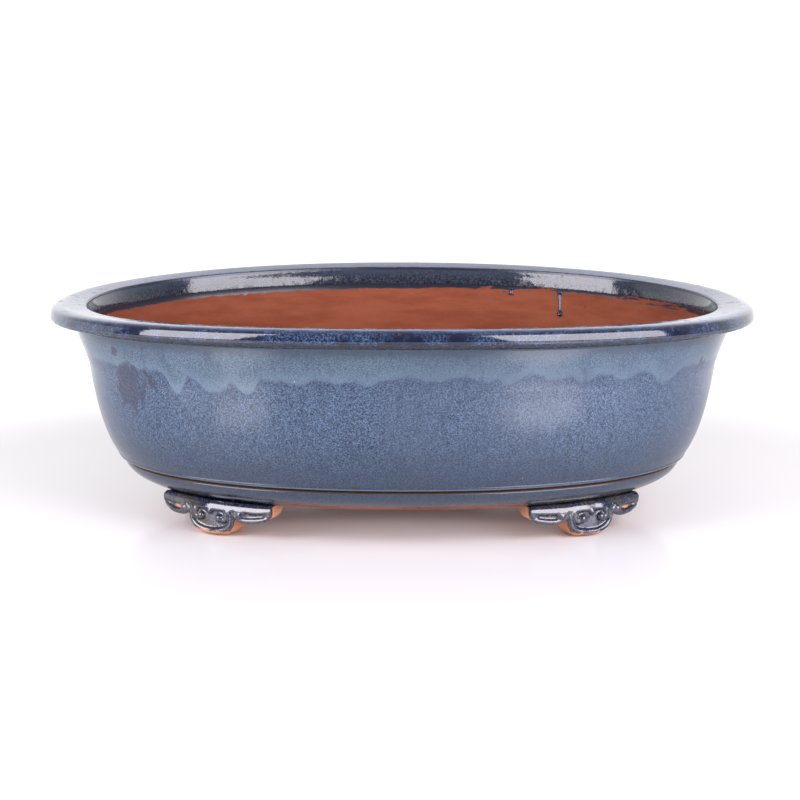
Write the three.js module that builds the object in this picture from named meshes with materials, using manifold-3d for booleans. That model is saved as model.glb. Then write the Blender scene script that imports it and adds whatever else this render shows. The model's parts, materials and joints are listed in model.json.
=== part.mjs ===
// Oval bonsai pot with a broad outward lip, a bell-shaped wall, a grooved base band and four
// cloud-scroll feet. Millimetres, +Z up. The origin is on the ground under the middle of the pot:
// +X runs along the long side and -Y is the front.
//
// The pot is put together from separately formed clay members that are luted with slip and then
// fired. Each member is one mesh here, and a luted joint is a gap of GAP between its two members.

import * as THREE from 'three';
import { mergeVertices } from 'three/addons/utils/BufferGeometryUtils.js';
import Module from 'manifold-3d';

// ---------------------------------------------------------------- driving dimensions, mm

const RIM_LENGTH = 510; // over the lip, end to end
const RIM_WIDTH = 400; // over the lip, front to back
const HEIGHT = 158; // ground to the rim's top face, at the middle of a long side
const RIM_DIP = 6; // how much lower the rim's two ends sit, from sagging in the kiln
const OVAL_POWER = 2.155; // 2 would be a true ellipse, more is squarer

const LIP_WIDTH = 26.5; // top face of the rim, outer edge to inner edge
const LIP_HEIGHT = 9.5; // outer face of the lip
const LIP_OVERHANG = 18; // how far the lip stands out past the wall under it
const LIP_ROOT_DROP = 5; // the lip's underside slopes down this much to meet the wall
const LIP_DISH = 1.5; // the top face's inner edge lies this much under its highest line
const LIP_CREST = 8; // outer edge to the top face's highest line
const LIP_NOSE_DROP = 6.5; // the rounded nose reaches the outer edge this far under the top
const LIP_EDGE_RADIUS = 1.5;

const WALL_THICKNESS = 11;
const GROOVE_INSET = 51; // the rim's outer edge to the body at the groove
const GROOVE_DEPTH = 3;
const GROOVE_HALF_HEIGHT = 2;
const BAND_STEP_BACK = 1; // the base band sits this much behind the wall across the groove

const BASE_BAND_HEIGHT = 15.2; // from the groove down to the bottom edge
const BASE_INSET = 69; // the rim's outer edge to the bottom edge
const BASE_BAND_SEAT = 7; // flat underside of the band
const FLOOR_THICKNESS = 12.2;
const SEAM_COIL_HEIGHT = 18; // fillet coil, up the wall from the band's top
const SEAM_COIL_REACH = 17; // fillet coil, in over the floor slab
const SEAM_COIL_COVER = 3; // clay over the band's inner corner
const SEAM_COIL_HOLLOW = 0.22; // 0 hollows the fillet right into its corner, 0.5 leaves it straight

const DRAIN_HOLE_DIAMETER = 40;
const DRAIN_HOLE_SPACING = 170;
const WIRE_HOLE_DIAMETER = 8;
const WIRE_HOLE_SPACING_X = 90;
const WIRE_HOLE_SPACING_Y = 96;

const FOOT_HEIGHT = 25.2; // ground to the underside of the base band
const FOOT_SPACING = 263; // between the middles of the left and right feet
const FOOT_HALF_LENGTH = 49; // along the oval
const FOOT_DEPTH = 24; // face to back
const FOOT_STAND_OUT = 5; // the feet stand proud of the bottom edge
const FOOT_UNDERCUT = 6; // the lower edge curves back this far to where it is lowest
const PAD_HALF_LENGTH = 8; // flat part that rests on the ground
const CENTRE_LOBE_HALF_LENGTH = 19;
const SIDE_LOBE_LOWEST = 29; // from the foot's middle to the side lobe's lowest point
const NOOK_HEIGHT = 13.5; // ground to the nook between two lobes
const SIDE_LOBE_HEIGHT = 11; // ground to the side lobe's lowest point
const FOOT_END_HEIGHT = 3; // what is left of the foot at its two tips
const FOOT_BULGE = 1.5;
const CURL_RADIUS = 4.5;
const CURL_STAND_OUT = 2;

const GAP = 0.3; // slip joint between two luted members

// ---------------------------------------------------------------- levels and insets

const footTop = FOOT_HEIGHT - GAP;
const grooveHeight = FOOT_HEIGHT + BASE_BAND_HEIGHT;
const wallBottom = grooveHeight + GAP;
const lipUnderside = HEIGHT - LIP_HEIGHT;
const lipRoot = lipUnderside - LIP_ROOT_DROP;
const wallTop = lipRoot - GAP;
const wallInnerTopInset = LIP_OVERHANG + WALL_THICKNESS;
const bandInnerInset = BASE_INSET + BASE_BAND_SEAT;
const floorInset = bandInnerInset + GAP;
const floorTop = FOOT_HEIGHT + FLOOR_THICKNESS;
const footFaceInset = BASE_INSET - FOOT_STAND_OUT;

const RING_STEPS = 64; // round each oval member
const CURVE_STEPS = 4; // along each curved stretch of a section
const FOOT_STEPS = 26; // along each foot

// ---------------------------------------------------------------- the oval

/** Point of the oval that lies `inset` inside the rim's outer edge, as [x, y]. */
function ovalPoint(inset, angle) {
  const power = 2 / OVAL_POWER;
  const c = Math.cos(angle);
  const s = Math.sin(angle);
  return [
    (RIM_LENGTH / 2 - inset) * Math.sign(c) * Math.abs(c) ** power,
    (RIM_WIDTH / 2 - inset) * Math.sign(s) * Math.abs(s) ** power,
  ];
}

/** Height after the kiln sag: nothing at the groove, all of RIM_DIP at the ends of the rim. */
function sagged(x, z) {
  const rise = THREE.MathUtils.smoothstep(z, grooveHeight, HEIGHT);
  return z - RIM_DIP * rise * (x / (RIM_LENGTH / 2)) ** 2;
}

/** Sweeps a closed section of (inset, height) points round the oval. */
function ovalRing(section) {
  const points = section.slice();
  if (points[0].distanceTo(points[points.length - 1]) < 1e-6) points.pop();
  if (!THREE.ShapeUtils.isClockWise(points)) points.reverse();
  const count = points.length;
  const positions = [];
  const faces = [];
  for (let step = 0; step < RING_STEPS; step += 1) {
    const angle = (2 * Math.PI * step) / RING_STEPS;
    for (const { x: inset, y: height } of points) {
      const [x, y] = ovalPoint(inset, angle);
      positions.push(x, y, sagged(x, height));
    }
    const here = step * count;
    const next = ((step + 1) % RING_STEPS) * count;
    for (let i = 0; i < count; i += 1) {
      const j = (i + 1) % count;
      faces.push(here + i, next + i, next + j, here + i, next + j, here + j);
    }
  }
  return indexedGeometry(positions, faces);
}

function indexedGeometry(positions, faces) {
  const geometry = new THREE.BufferGeometry();
  geometry.setAttribute('position', new THREE.Float32BufferAttribute(positions, 3));
  geometry.setIndex(faces);
  geometry.computeVertexNormals();
  return geometry;
}

// ---------------------------------------------------------------- wall profile

/** The wall's outer profile shifted inwards: a flare under the lip, then a swelling side. */
function wallProfile(shift) {
  const rise = wallTop - wallBottom;
  const draw = GROOVE_INSET - LIP_OVERHANG;
  const at = (in_, up) => new THREE.Vector2(LIP_OVERHANG + shift + draw * in_, wallBottom + rise * up);
  const neck = at(0.29, 0.71);
  const flare = new THREE.CubicBezierCurve(at(0, 1), at(0.04, 0.93), at(0.23, 0.8), neck);
  const side = new THREE.CubicBezierCurve(neck, at(0.39, 0.45), at(0.6, 0.13), at(1, 0));
  return [...flare.getPoints(CURVE_STEPS), ...side.getPoints(CURVE_STEPS + 2).slice(1)];
}

/** Inset of a profile at a height, between its two nearest points. */
function insetAt(profile, height) {
  const below = profile.findIndex((point) => point.y <= height);
  const [a, b] = [profile[below - 1], profile[below]];
  return THREE.MathUtils.mapLinear(height, a.y, b.y, a.x, b.x);
}

// ---------------------------------------------------------------- oval members

function rimLip() {
  const r = LIP_EDGE_RADIUS;
  const section = new THREE.Shape();
  const innerEdge = HEIGHT - LIP_DISH;
  section.moveTo(LIP_WIDTH - r, innerEdge);
  section.lineTo(LIP_CREST, HEIGHT);
  section.quadraticCurveTo(0, HEIGHT, 0, HEIGHT - LIP_NOSE_DROP);
  section.lineTo(0, lipUnderside + r);
  section.quadraticCurveTo(0, lipUnderside, r, lipUnderside - LIP_ROOT_DROP * (r / LIP_OVERHANG));
  section.lineTo(LIP_OVERHANG, lipRoot);
  section.lineTo(wallInnerTopInset, lipRoot);
  section.lineTo(LIP_WIDTH, innerEdge - r);
  section.quadraticCurveTo(LIP_WIDTH, innerEdge, LIP_WIDTH - r, innerEdge);
  return ovalRing(section.getPoints(3));
}

function wall() {
  const outer = wallProfile(0);
  const grooveTop = wallBottom + GROOVE_HALF_HEIGHT;
  const section = [
    ...outer.filter((point) => point.y > grooveTop),
    new THREE.Vector2(insetAt(outer, grooveTop), grooveTop),
    new THREE.Vector2(GROOVE_INSET + GROOVE_DEPTH, wallBottom),
    ...wallProfile(WALL_THICKNESS).reverse(),
  ];
  return ovalRing(section);
}

function baseBand() {
  const bandTop = grooveHeight - GROOVE_HALF_HEIGHT;
  const topInset = GROOVE_INSET + BAND_STEP_BACK;
  const swellInset = THREE.MathUtils.lerp(topInset, BASE_INSET, 0.2);
  const swellHeight = THREE.MathUtils.lerp(FOOT_HEIGHT, bandTop, 0.4);
  const section = new THREE.Shape();
  section.moveTo(bandInnerInset, grooveHeight);
  section.lineTo(GROOVE_INSET + GROOVE_DEPTH, grooveHeight);
  section.lineTo(topInset, bandTop);
  section.quadraticCurveTo(swellInset, swellHeight, BASE_INSET, FOOT_HEIGHT);
  section.lineTo(bandInnerInset, FOOT_HEIGHT);
  return ovalRing(section.getPoints(CURVE_STEPS));
}

function insideSeamCoil() {
  const inner = wallProfile(WALL_THICKNESS + GAP);
  const top = wallBottom + SEAM_COIL_HEIGHT;
  const againstWall = inner.filter((point) => point.y < top);
  const tip = new THREE.Vector2(insetAt(inner, top), top);
  const toe = new THREE.Vector2(floorInset + SEAM_COIL_REACH, floorTop + GAP);
  const knee = new THREE.Vector2(floorInset, wallBottom + SEAM_COIL_COVER);
  const corner = new THREE.Vector2(
    THREE.MathUtils.lerp(tip.x, knee.x, SEAM_COIL_HOLLOW),
    THREE.MathUtils.lerp(knee.y, tip.y, SEAM_COIL_HOLLOW),
  );
  const fillet = new THREE.QuadraticBezierCurve(knee, corner, tip);
  const section = [
    tip,
    ...againstWall,
    new THREE.Vector2(floorInset, wallBottom),
    new THREE.Vector2(floorInset, floorTop + GAP),
    toe,
    ...fillet.getPoints(CURVE_STEPS).slice(0, -1),
  ];
  return ovalRing(section);
}

function floorSlab() {
  const outline = new THREE.Shape();
  for (let step = 0; step < RING_STEPS; step += 1) {
    const [x, y] = ovalPoint(floorInset, (2 * Math.PI * step) / RING_STEPS);
    if (step === 0) outline.moveTo(x, y);
    else outline.lineTo(x, y);
  }
  outline.closePath();
  const hole = (x, y, diameter) => {
    const path = new THREE.Path();
    path.absarc(x, y, diameter / 2, 0, 2 * Math.PI, true);
    outline.holes.push(path);
  };
  for (const side of [-1, 1]) {
    hole((side * DRAIN_HOLE_SPACING) / 2, 0, DRAIN_HOLE_DIAMETER);
    for (const end of [-1, 1]) {
      hole((end * WIRE_HOLE_SPACING_X) / 2, (side * WIRE_HOLE_SPACING_Y) / 2, WIRE_HOLE_DIAMETER);
    }
  }
  const options = { depth: FLOOR_THICKNESS, bevelEnabled: false, curveSegments: 16 };
  return new THREE.ExtrudeGeometry(outline, options).translate(0, 0, FOOT_HEIGHT);
}

// ---------------------------------------------------------------- cloud-scroll feet

/** Height of the foot's lower edge at a distance from its middle: three lobes with nooks. */
function lobeHeight(along) {
  const d = Math.abs(along);
  const quarterArc = (from, to) => {
    const t = THREE.MathUtils.clamp((d - from) / (to - from), 0, 1);
    return 1 - Math.sqrt(1 - t * t);
  };
  if (d < CENTRE_LOBE_HALF_LENGTH) {
    return NOOK_HEIGHT * quarterArc(PAD_HALF_LENGTH, CENTRE_LOBE_HALF_LENGTH);
  }
  if (d < SIDE_LOBE_LOWEST) {
    const back = (SIDE_LOBE_LOWEST - d) / (SIDE_LOBE_LOWEST - CENTRE_LOBE_HALF_LENGTH);
    return SIDE_LOBE_HEIGHT + (NOOK_HEIGHT - SIDE_LOBE_HEIGHT) * back * back;
  }
  const highest = footTop - FOOT_END_HEIGHT;
  return SIDE_LOBE_HEIGHT + (highest - SIDE_LOBE_HEIGHT) * quarterArc(SIDE_LOBE_LOWEST, FOOT_HALF_LENGTH);
}

/** Maps (distance along the foot, depth behind its face) to the plan of the right front foot. */
function footPlan() {
  const samples = 720;
  const curve = [];
  for (let i = 0; i <= samples; i += 1) {
    curve.push(new THREE.Vector3(...ovalPoint(footFaceInset, -Math.PI / 2 + (Math.PI * i) / samples), 0));
  }
  const lengths = [0];
  for (let i = 1; i <= samples; i += 1) lengths.push(lengths[i - 1] + curve[i].distanceTo(curve[i - 1]));
  const middle = lengths[curve.findIndex((point) => point.x >= FOOT_SPACING / 2)];
  return (along, depth) => {
    const next = lengths.findIndex((length) => length >= middle + along);
    const [a, b] = [curve[next - 1], curve[next]];
    const part = (middle + along - lengths[next - 1]) / (lengths[next] - lengths[next - 1]);
    const tangent = b.clone().sub(a).normalize();
    const point = a.clone().lerp(b, part);
    return [point.x - tangent.y * depth, point.y + tangent.x * depth];
  };
}

function footBody(plan) {
  const positions = [];
  const faces = [];
  const sectionSize = 7;
  for (let step = 0; step <= FOOT_STEPS; step += 1) {
    const along = FOOT_HALF_LENGTH * ((2 * step) / FOOT_STEPS - 1);
    const low = lobeHeight(along);
    const tall = footTop - low;
    const section = [
      [0, footTop],
      [-FOOT_BULGE, low + 0.65 * tall],
      [0, low + 0.2 * tall],
      [FOOT_UNDERCUT, low],
      [FOOT_DEPTH - 3, low],
      [FOOT_DEPTH, low + 0.3 * tall],
      [FOOT_DEPTH, footTop],
    ];
    for (const [depth, height] of section) positions.push(...plan(along, depth), height);
    if (step === FOOT_STEPS) break;
    const here = step * sectionSize;
    for (let i = 0; i < sectionSize; i += 1) {
      const j = (i + 1) % sectionSize;
      const [a, b] = [here + i, here + j];
      faces.push(a, b, b + sectionSize, a, b + sectionSize, a + sectionSize);
    }
  }
  const last = FOOT_STEPS * sectionSize;
  for (let i = 1; i < sectionSize - 1; i += 1) {
    faces.push(0, i + 1, i);
    faces.push(last, last + i, last + i + 1);
  }
  return indexedGeometry(positions, faces);
}

/** One foot with its four round curls, for the quarter of the oval where x and y have these signs. */
function foot(wasm, signX, signY) {
  const plan = footPlan();
  let solid = toManifold(wasm, footBody(plan));
  const curls = [
    [-8.5, 0.42],
    [8.5, 0.42],
    [-33, 0.62],
    [33, 0.62],
  ];
  for (const [along, share] of curls) {
    const [x, y] = plan(along, CURL_RADIUS - CURL_STAND_OUT - FOOT_BULGE);
    const bead = new THREE.SphereGeometry(CURL_RADIUS, 10, 7).translate(x, y, footTop * share);
    solid = solid.add(toManifold(wasm, bead));
  }
  return fromManifold(solid, signX, -signY);
}

// ---------------------------------------------------------------- joining solids

function toManifold(wasm, geometry) {
  const bare = geometry.clone();
  bare.deleteAttribute('normal');
  bare.deleteAttribute('uv');
  const merged = mergeVertices(bare, 1e-4);
  return new wasm.Manifold(
    new wasm.Mesh({
      numProp: 3,
      vertProperties: new Float32Array(merged.attributes.position.array),
      triVerts: new Uint32Array(merged.index.array),
    }),
  );
}

/** Back to a geometry, mirrored by the two signs with its faces still pointing out. */
function fromManifold(solid, signX, signY) {
  const mesh = solid.getMesh();
  const positions = Array.from(mesh.vertProperties);
  for (let i = 0; i < positions.length; i += 3) {
    positions[i] *= signX;
    positions[i + 1] *= signY;
  }
  const faces = Array.from(mesh.triVerts);
  if (signX * signY < 0) faces.reverse();
  return indexedGeometry(positions, faces);
}

// ---------------------------------------------------------------- assembly

const glaze = { color: 0x5b6f95, roughness: 0.25, metalness: 0 };
const darkGlaze = { color: 0x2b3450, roughness: 0.15, metalness: 0 };
const bareClay = { color: 0x9a5238, roughness: 0.9, metalness: 0 };

const pot = new THREE.Group();

function addPiece(name, geometry, finish) {
  const piece = new THREE.Mesh(geometry, new THREE.MeshStandardMaterial(finish));
  piece.name = name;
  pot.add(piece);
}

const wasm = await Module();
wasm.setup();

addPiece('rim_lip', rimLip(), darkGlaze);
addPiece('wall', wall(), glaze);
addPiece('base_band', baseBand(), glaze);
addPiece('floor_slab', floorSlab(), bareClay);
addPiece('inside_seam_coil', insideSeamCoil(), bareClay);

for (const [depthName, signY] of [['front', -1], ['rear', 1]]) {
  for (const [sideName, signX] of [['left', -1], ['right', 1]]) {
    addPiece(`${depthName}_${sideName}_foot`, foot(wasm, signX, signY), darkGlaze);
  }
}

export default pot;
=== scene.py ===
"""Looks of an oval bonsai pot: glazed outside, bare clay inside, on four cloud-scroll feet.

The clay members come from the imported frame. Each one is rebuilt here as a fine mesh in the same
place and dressed in glaze or bare clay. Lengths are in millimetres until MM turns them to metres.
"""

import json
import logging
import math
from collections.abc import Callable, Sequence
from dataclasses import dataclass, field
from enum import Enum

import bmesh
import bpy
import numpy as np
from mathutils import Matrix, Vector, noise


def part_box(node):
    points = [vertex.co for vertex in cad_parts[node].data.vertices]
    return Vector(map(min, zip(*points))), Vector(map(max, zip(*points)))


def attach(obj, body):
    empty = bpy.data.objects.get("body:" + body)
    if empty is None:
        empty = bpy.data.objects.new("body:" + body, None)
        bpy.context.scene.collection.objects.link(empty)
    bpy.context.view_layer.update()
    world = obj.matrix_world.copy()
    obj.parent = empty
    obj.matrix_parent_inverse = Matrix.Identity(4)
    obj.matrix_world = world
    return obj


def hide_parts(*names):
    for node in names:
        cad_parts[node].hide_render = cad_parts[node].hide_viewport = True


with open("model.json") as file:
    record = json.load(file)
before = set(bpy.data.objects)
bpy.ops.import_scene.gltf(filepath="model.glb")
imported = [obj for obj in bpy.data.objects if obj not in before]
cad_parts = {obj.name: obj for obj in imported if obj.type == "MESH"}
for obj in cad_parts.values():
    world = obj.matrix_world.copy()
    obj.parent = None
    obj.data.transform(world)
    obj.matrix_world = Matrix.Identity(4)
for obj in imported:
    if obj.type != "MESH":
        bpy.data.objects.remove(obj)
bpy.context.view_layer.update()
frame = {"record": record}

LOG = logging.getLogger("bonsai_pot")
MM = 0.001
BODY = "root"

Socket = bpy.types.NodeSocket
Colour = tuple[float, float, float]
Pair = tuple[float, float]
Spot = tuple[float, float, float]
Faces = Sequence[Sequence[int]]
FeetCall = Callable[[np.ndarray, np.ndarray], tuple[np.ndarray, np.ndarray]]


class Slot(Enum):
    """The record's material slots."""

    LIP = "lip_glaze"
    BODY = "body_glaze"
    CLAY = "bare_clay"
    FOOT = "foot_glaze"


class Place(str, Enum):
    """Values kept at every vertex for the finishes to read."""

    HEIGHT = "flat_height"
    INSIDE = "inside"
    FRINGE = "fringe"
    GLAZE_LINE = "glaze_line"
    BRUSHED = "brushed"
    BARE_LINE = "bare_line"
    POOL = "pool"
    THIN = "thin"
    TOP_FACE = "top_face"
    WORN_EDGE = "worn_edge"
    # Mask of the painted shadow line under the lip's inner edge.
    SEAM = "seam"
    BEHIND = "behind_face"
    WINDOW = "window"


# ------------------------------------------------------------------ plan of the pot


@dataclass(frozen=True)
class Oval:
    """The rounded oval that every member follows, and the kiln sag of its rim.

    Attributes:
        half_length: From the middle to the rim's edge along the long side.
        half_width: The same across.
        top: Height of the rim at the middle of a long side.
        groove: Height of the groove, below which nothing sags.
        power: 2 is an ellipse, more is squarer.
        dip: How much lower the rim's ends sit.
    """

    half_length: float
    half_width: float
    top: float
    groove: float
    power: float = 2.155
    dip: float = 6.0

    @classmethod
    def from_frame(cls) -> "Oval":
        """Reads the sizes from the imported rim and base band."""
        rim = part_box("rim_lip")[1] / MM
        return cls(rim.x, rim.y, rim.z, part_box("base_band")[1].z / MM)

    def point(self, inset: np.ndarray, angle: np.ndarray) -> tuple[np.ndarray, np.ndarray]:
        """Plan of a point.

        Args:
            inset: Distance in from the rim's outer edge.
            angle: Angle parameter, with zero at the right end.

        Returns:
            Its x and y.
        """
        share = 2.0 / self.power
        c, s = np.cos(angle), np.sin(angle)
        x = (self.half_length - inset) * np.sign(c) * np.abs(c) ** share
        y = (self.half_width - inset) * np.sign(s) * np.abs(s) ** share
        return x, y

    def sagged(self, x: np.ndarray, height: np.ndarray) -> np.ndarray:
        """Height after the kiln sag.

        Args:
            x: Place along the length.
            height: Height before the sag.

        Returns:
            The sagged height.
        """
        rise = np.clip((height - self.groove) / (self.top - self.groove), 0.0, 1.0)
        rise = rise * rise * (3.0 - 2.0 * rise)
        return height - self.dip * rise * (x / self.half_length) ** 2

    def even_angles(self, count: int, inset: float = 0.0) -> np.ndarray:
        """Angles that step evenly along the oval.

        Args:
            count: How many.
            inset: Inset of the oval that is measured.

        Returns:
            The angles, from the right end.
        """
        fine = np.linspace(0.0, 2.0 * np.pi, 14401)
        x, y = self.point(np.full_like(fine, inset), fine)
        length = arc_length(x, y)
        return np.interp(np.arange(count) * length[-1] / count, length, fine)


# ------------------------------------------------------------------ sections


def line(start: Pair, end: Pair, steps: int = 1) -> list[Pair]:
    """Points from start to just before end."""
    return [tuple(np.array(start) + (np.array(end) - start) * i / steps) for i in range(steps)]


def bend(start: Pair, *controls: Pair, steps: int = 8) -> list[Pair]:
    """Points of a Bezier curve, without its last one.

    Args:
        start: First point.
        *controls: One or two control points, then the last point.
        steps: How many points.

    Returns:
        The points.
    """
    points = np.array([start, *controls], float)
    degree = len(points) - 1
    shares = [math.comb(degree, k) for k in range(degree + 1)]
    result = []
    for i in range(steps):
        t = i / steps
        weights = [shares[k] * t**k * (1 - t) ** (degree - k) for k in range(degree + 1)]
        result.append(tuple(weights @ points))
    return result


# ------------------------------------------------------------------ meshes


def in_scene(name: str, data: bpy.types.ID) -> bpy.types.Object:
    """A new object in the scene for a mesh, lamp, curve or camera.

    Args:
        name: Its name.
        data: What it shows.

    Returns:
        The object.
    """
    thing = bpy.data.objects.new(name, data)
    bpy.context.scene.collection.objects.link(thing)
    return thing


def new_mesh(name: str, points: np.ndarray, faces: Faces) -> bpy.types.Mesh:
    """A smooth-shaded mesh from points in millimetres.

    Args:
        name: Its name.
        points: Its points.
        faces: Numbers of each face's points.

    Returns:
        The mesh.
    """
    mesh = bpy.data.meshes.new(name)
    mesh.from_pydata((points * MM).tolist(), [], faces)
    shade_smooth(mesh)
    return mesh


def shade_smooth(mesh: bpy.types.Mesh) -> None:
    """Shades every face smooth."""
    mesh.polygons.foreach_set("use_smooth", np.ones(len(mesh.polygons), bool))
    mesh.update()


def turned_out(mesh: bpy.types.Mesh, weld: float = 0.0) -> None:
    """Makes a closed mesh's faces point outwards.

    Args:
        mesh: The mesh.
        weld: Points closer than this are joined first.
    """
    shape = bmesh.new()
    shape.from_mesh(mesh)
    if weld:
        bmesh.ops.remove_doubles(shape, verts=shape.verts, dist=weld * MM)
    bmesh.ops.recalc_face_normals(shape, faces=shape.faces)
    shape.to_mesh(mesh)
    shape.free()


def mesh_of(thing: bpy.types.Object) -> bpy.types.Mesh:
    """The mesh that an object's curve or modifiers give; the object is removed.

    Args:
        thing: The object.

    Returns:
        The finished mesh.
    """
    mesh = bpy.data.meshes.new_from_object(thing.evaluated_get(bpy.context.evaluated_depsgraph_get()))
    bpy.data.objects.remove(thing)
    return mesh


def tube_faces(rings: int, sides: int, first: int = 0) -> list[list[int]]:
    """Faces of a closed tube.

    Args:
        rings: How many rings of points it has.
        sides: Points in each ring.
        first: Number of its first point.

    Returns:
        The faces round it and the two caps.
    """
    last = first + (rings - 1) * sides
    faces = [
        [base + side, base + (side + 1) % sides, base + sides + (side + 1) % sides, base + sides + side]
        for base in range(first, last, sides) for side in range(sides)
    ]
    return [*faces, list(range(first, first + sides))[::-1], list(range(last, last + sides))]


def arc_length(x: np.ndarray, y: np.ndarray) -> np.ndarray:
    """Length along a curve at each of its points."""
    return np.concatenate([[0.0], np.cumsum(np.hypot(np.diff(x), np.diff(y)))])


def turn_between(first: np.ndarray, second: np.ndarray | float) -> np.ndarray:
    """The angle from the second to the first, from -pi to pi."""
    return np.angle(np.exp(1j * (first - second)))


def hump(away: np.ndarray | float, width: float) -> np.ndarray:
    """1 where `away` is 0, falling off smoothly over a width."""
    return np.exp(-((away / width) ** 2))


def fade(value: np.ndarray, width: float) -> np.ndarray:
    """0 below zero, rising evenly to 1 over a width."""
    return np.clip(value / width, 0.0, 1.0)


def keep_values(piece: bpy.types.Object, **values: np.ndarray) -> None:
    """Stores one number for every vertex under each name.

    Args:
        piece: The piece.
        **values: Numbers for each Place, by its member name.
    """
    for name, numbers in values.items():
        layer = piece.data.attributes.new(Place[name].value, "FLOAT", "POINT")
        layer.data.foreach_set("value", np.asarray(numbers, np.float32).ravel())


def unevenness(points: np.ndarray, wavelength: float, depth: float, seed: float) -> np.ndarray:
    """Soft lumps left by hands and moulds.

    Args:
        points: Places in millimetres.
        wavelength: Distance between lumps.
        depth: Their largest height.
        seed: Shifts the pattern.

    Returns:
        One height for each place.
    """
    shifted = points / wavelength + seed
    return depth * np.array([noise.noise(Vector(p)) for p in shifted])


def settle(piece: bpy.types.Object, slot: Slot, *nodes: str) -> None:
    """Rides a piece on the pot and hides the CAD nodes that it stands for.

    Args:
        piece: The piece.
        slot: Its material slot. Not used.
        *nodes: The CAD nodes.
    """
    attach(piece, BODY)
    if nodes:
        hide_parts(*nodes)
    LOG.info("%s: %d faces", piece.name, len(piece.data.polygons))


@dataclass
class Ring:
    """A member swept round the oval from one closed section.

    Attributes:
        oval: The plan it follows.
        name: The piece's name.
        section: Closed (inset, height) outline.
        steps: Steps round the oval.
        lump: Depth of the hand-made unevenness.
        seed: Where that pattern starts.
        heights: Each vertex's height before the sag, once it is built.
        insets: Each vertex's inset.
        angles: Each vertex's angle.
    """

    oval: Oval
    name: str
    section: list[Pair]
    steps: int = 760
    lump: float = 0.25
    seed: float = 0.0
    heights: np.ndarray = field(init=False)
    insets: np.ndarray = field(init=False)
    angles: np.ndarray = field(init=False)

    def build(self) -> bpy.types.Object:
        """Sweeps the section and keeps each vertex's height before the sag."""
        outline = np.array(self.section)
        ahead = np.roll(outline, -1, axis=0)
        if np.sum(outline[:, 0] * ahead[:, 1] - ahead[:, 0] * outline[:, 1]) > 0:
            outline = outline[::-1]
        count = len(outline)
        self.angles = np.repeat(self.oval.even_angles(self.steps), count)
        self.insets = np.tile(outline[:, 0], self.steps)
        self.heights = np.tile(outline[:, 1], self.steps)
        x, y = self.oval.point(self.insets, self.angles)
        flat = np.stack([x, y, self.heights], 1)
        moved = self.insets + unevenness(flat, 38.0, self.lump, self.seed)
        x, y = self.oval.point(moved, self.angles)
        points = np.stack([x, y, self.oval.sagged(x, self.heights)], 1)
        step, along = np.meshgrid(np.arange(self.steps), np.arange(count), indexing="ij")
        next_step, next_along = (step + 1) % self.steps, (along + 1) % count
        faces = np.stack(
            [step * count + along, next_step * count + along,
             next_step * count + next_along, step * count + next_along], -1
        ).reshape(-1, 4)
        piece = in_scene(self.name, new_mesh(self.name, points, faces.tolist()))
        piece.data.set_sharp_from_angle(angle=math.radians(50))
        keep_values(piece, HEIGHT=self.heights * MM)
        return piece


# ------------------------------------------------------------------ node wiring


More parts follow.
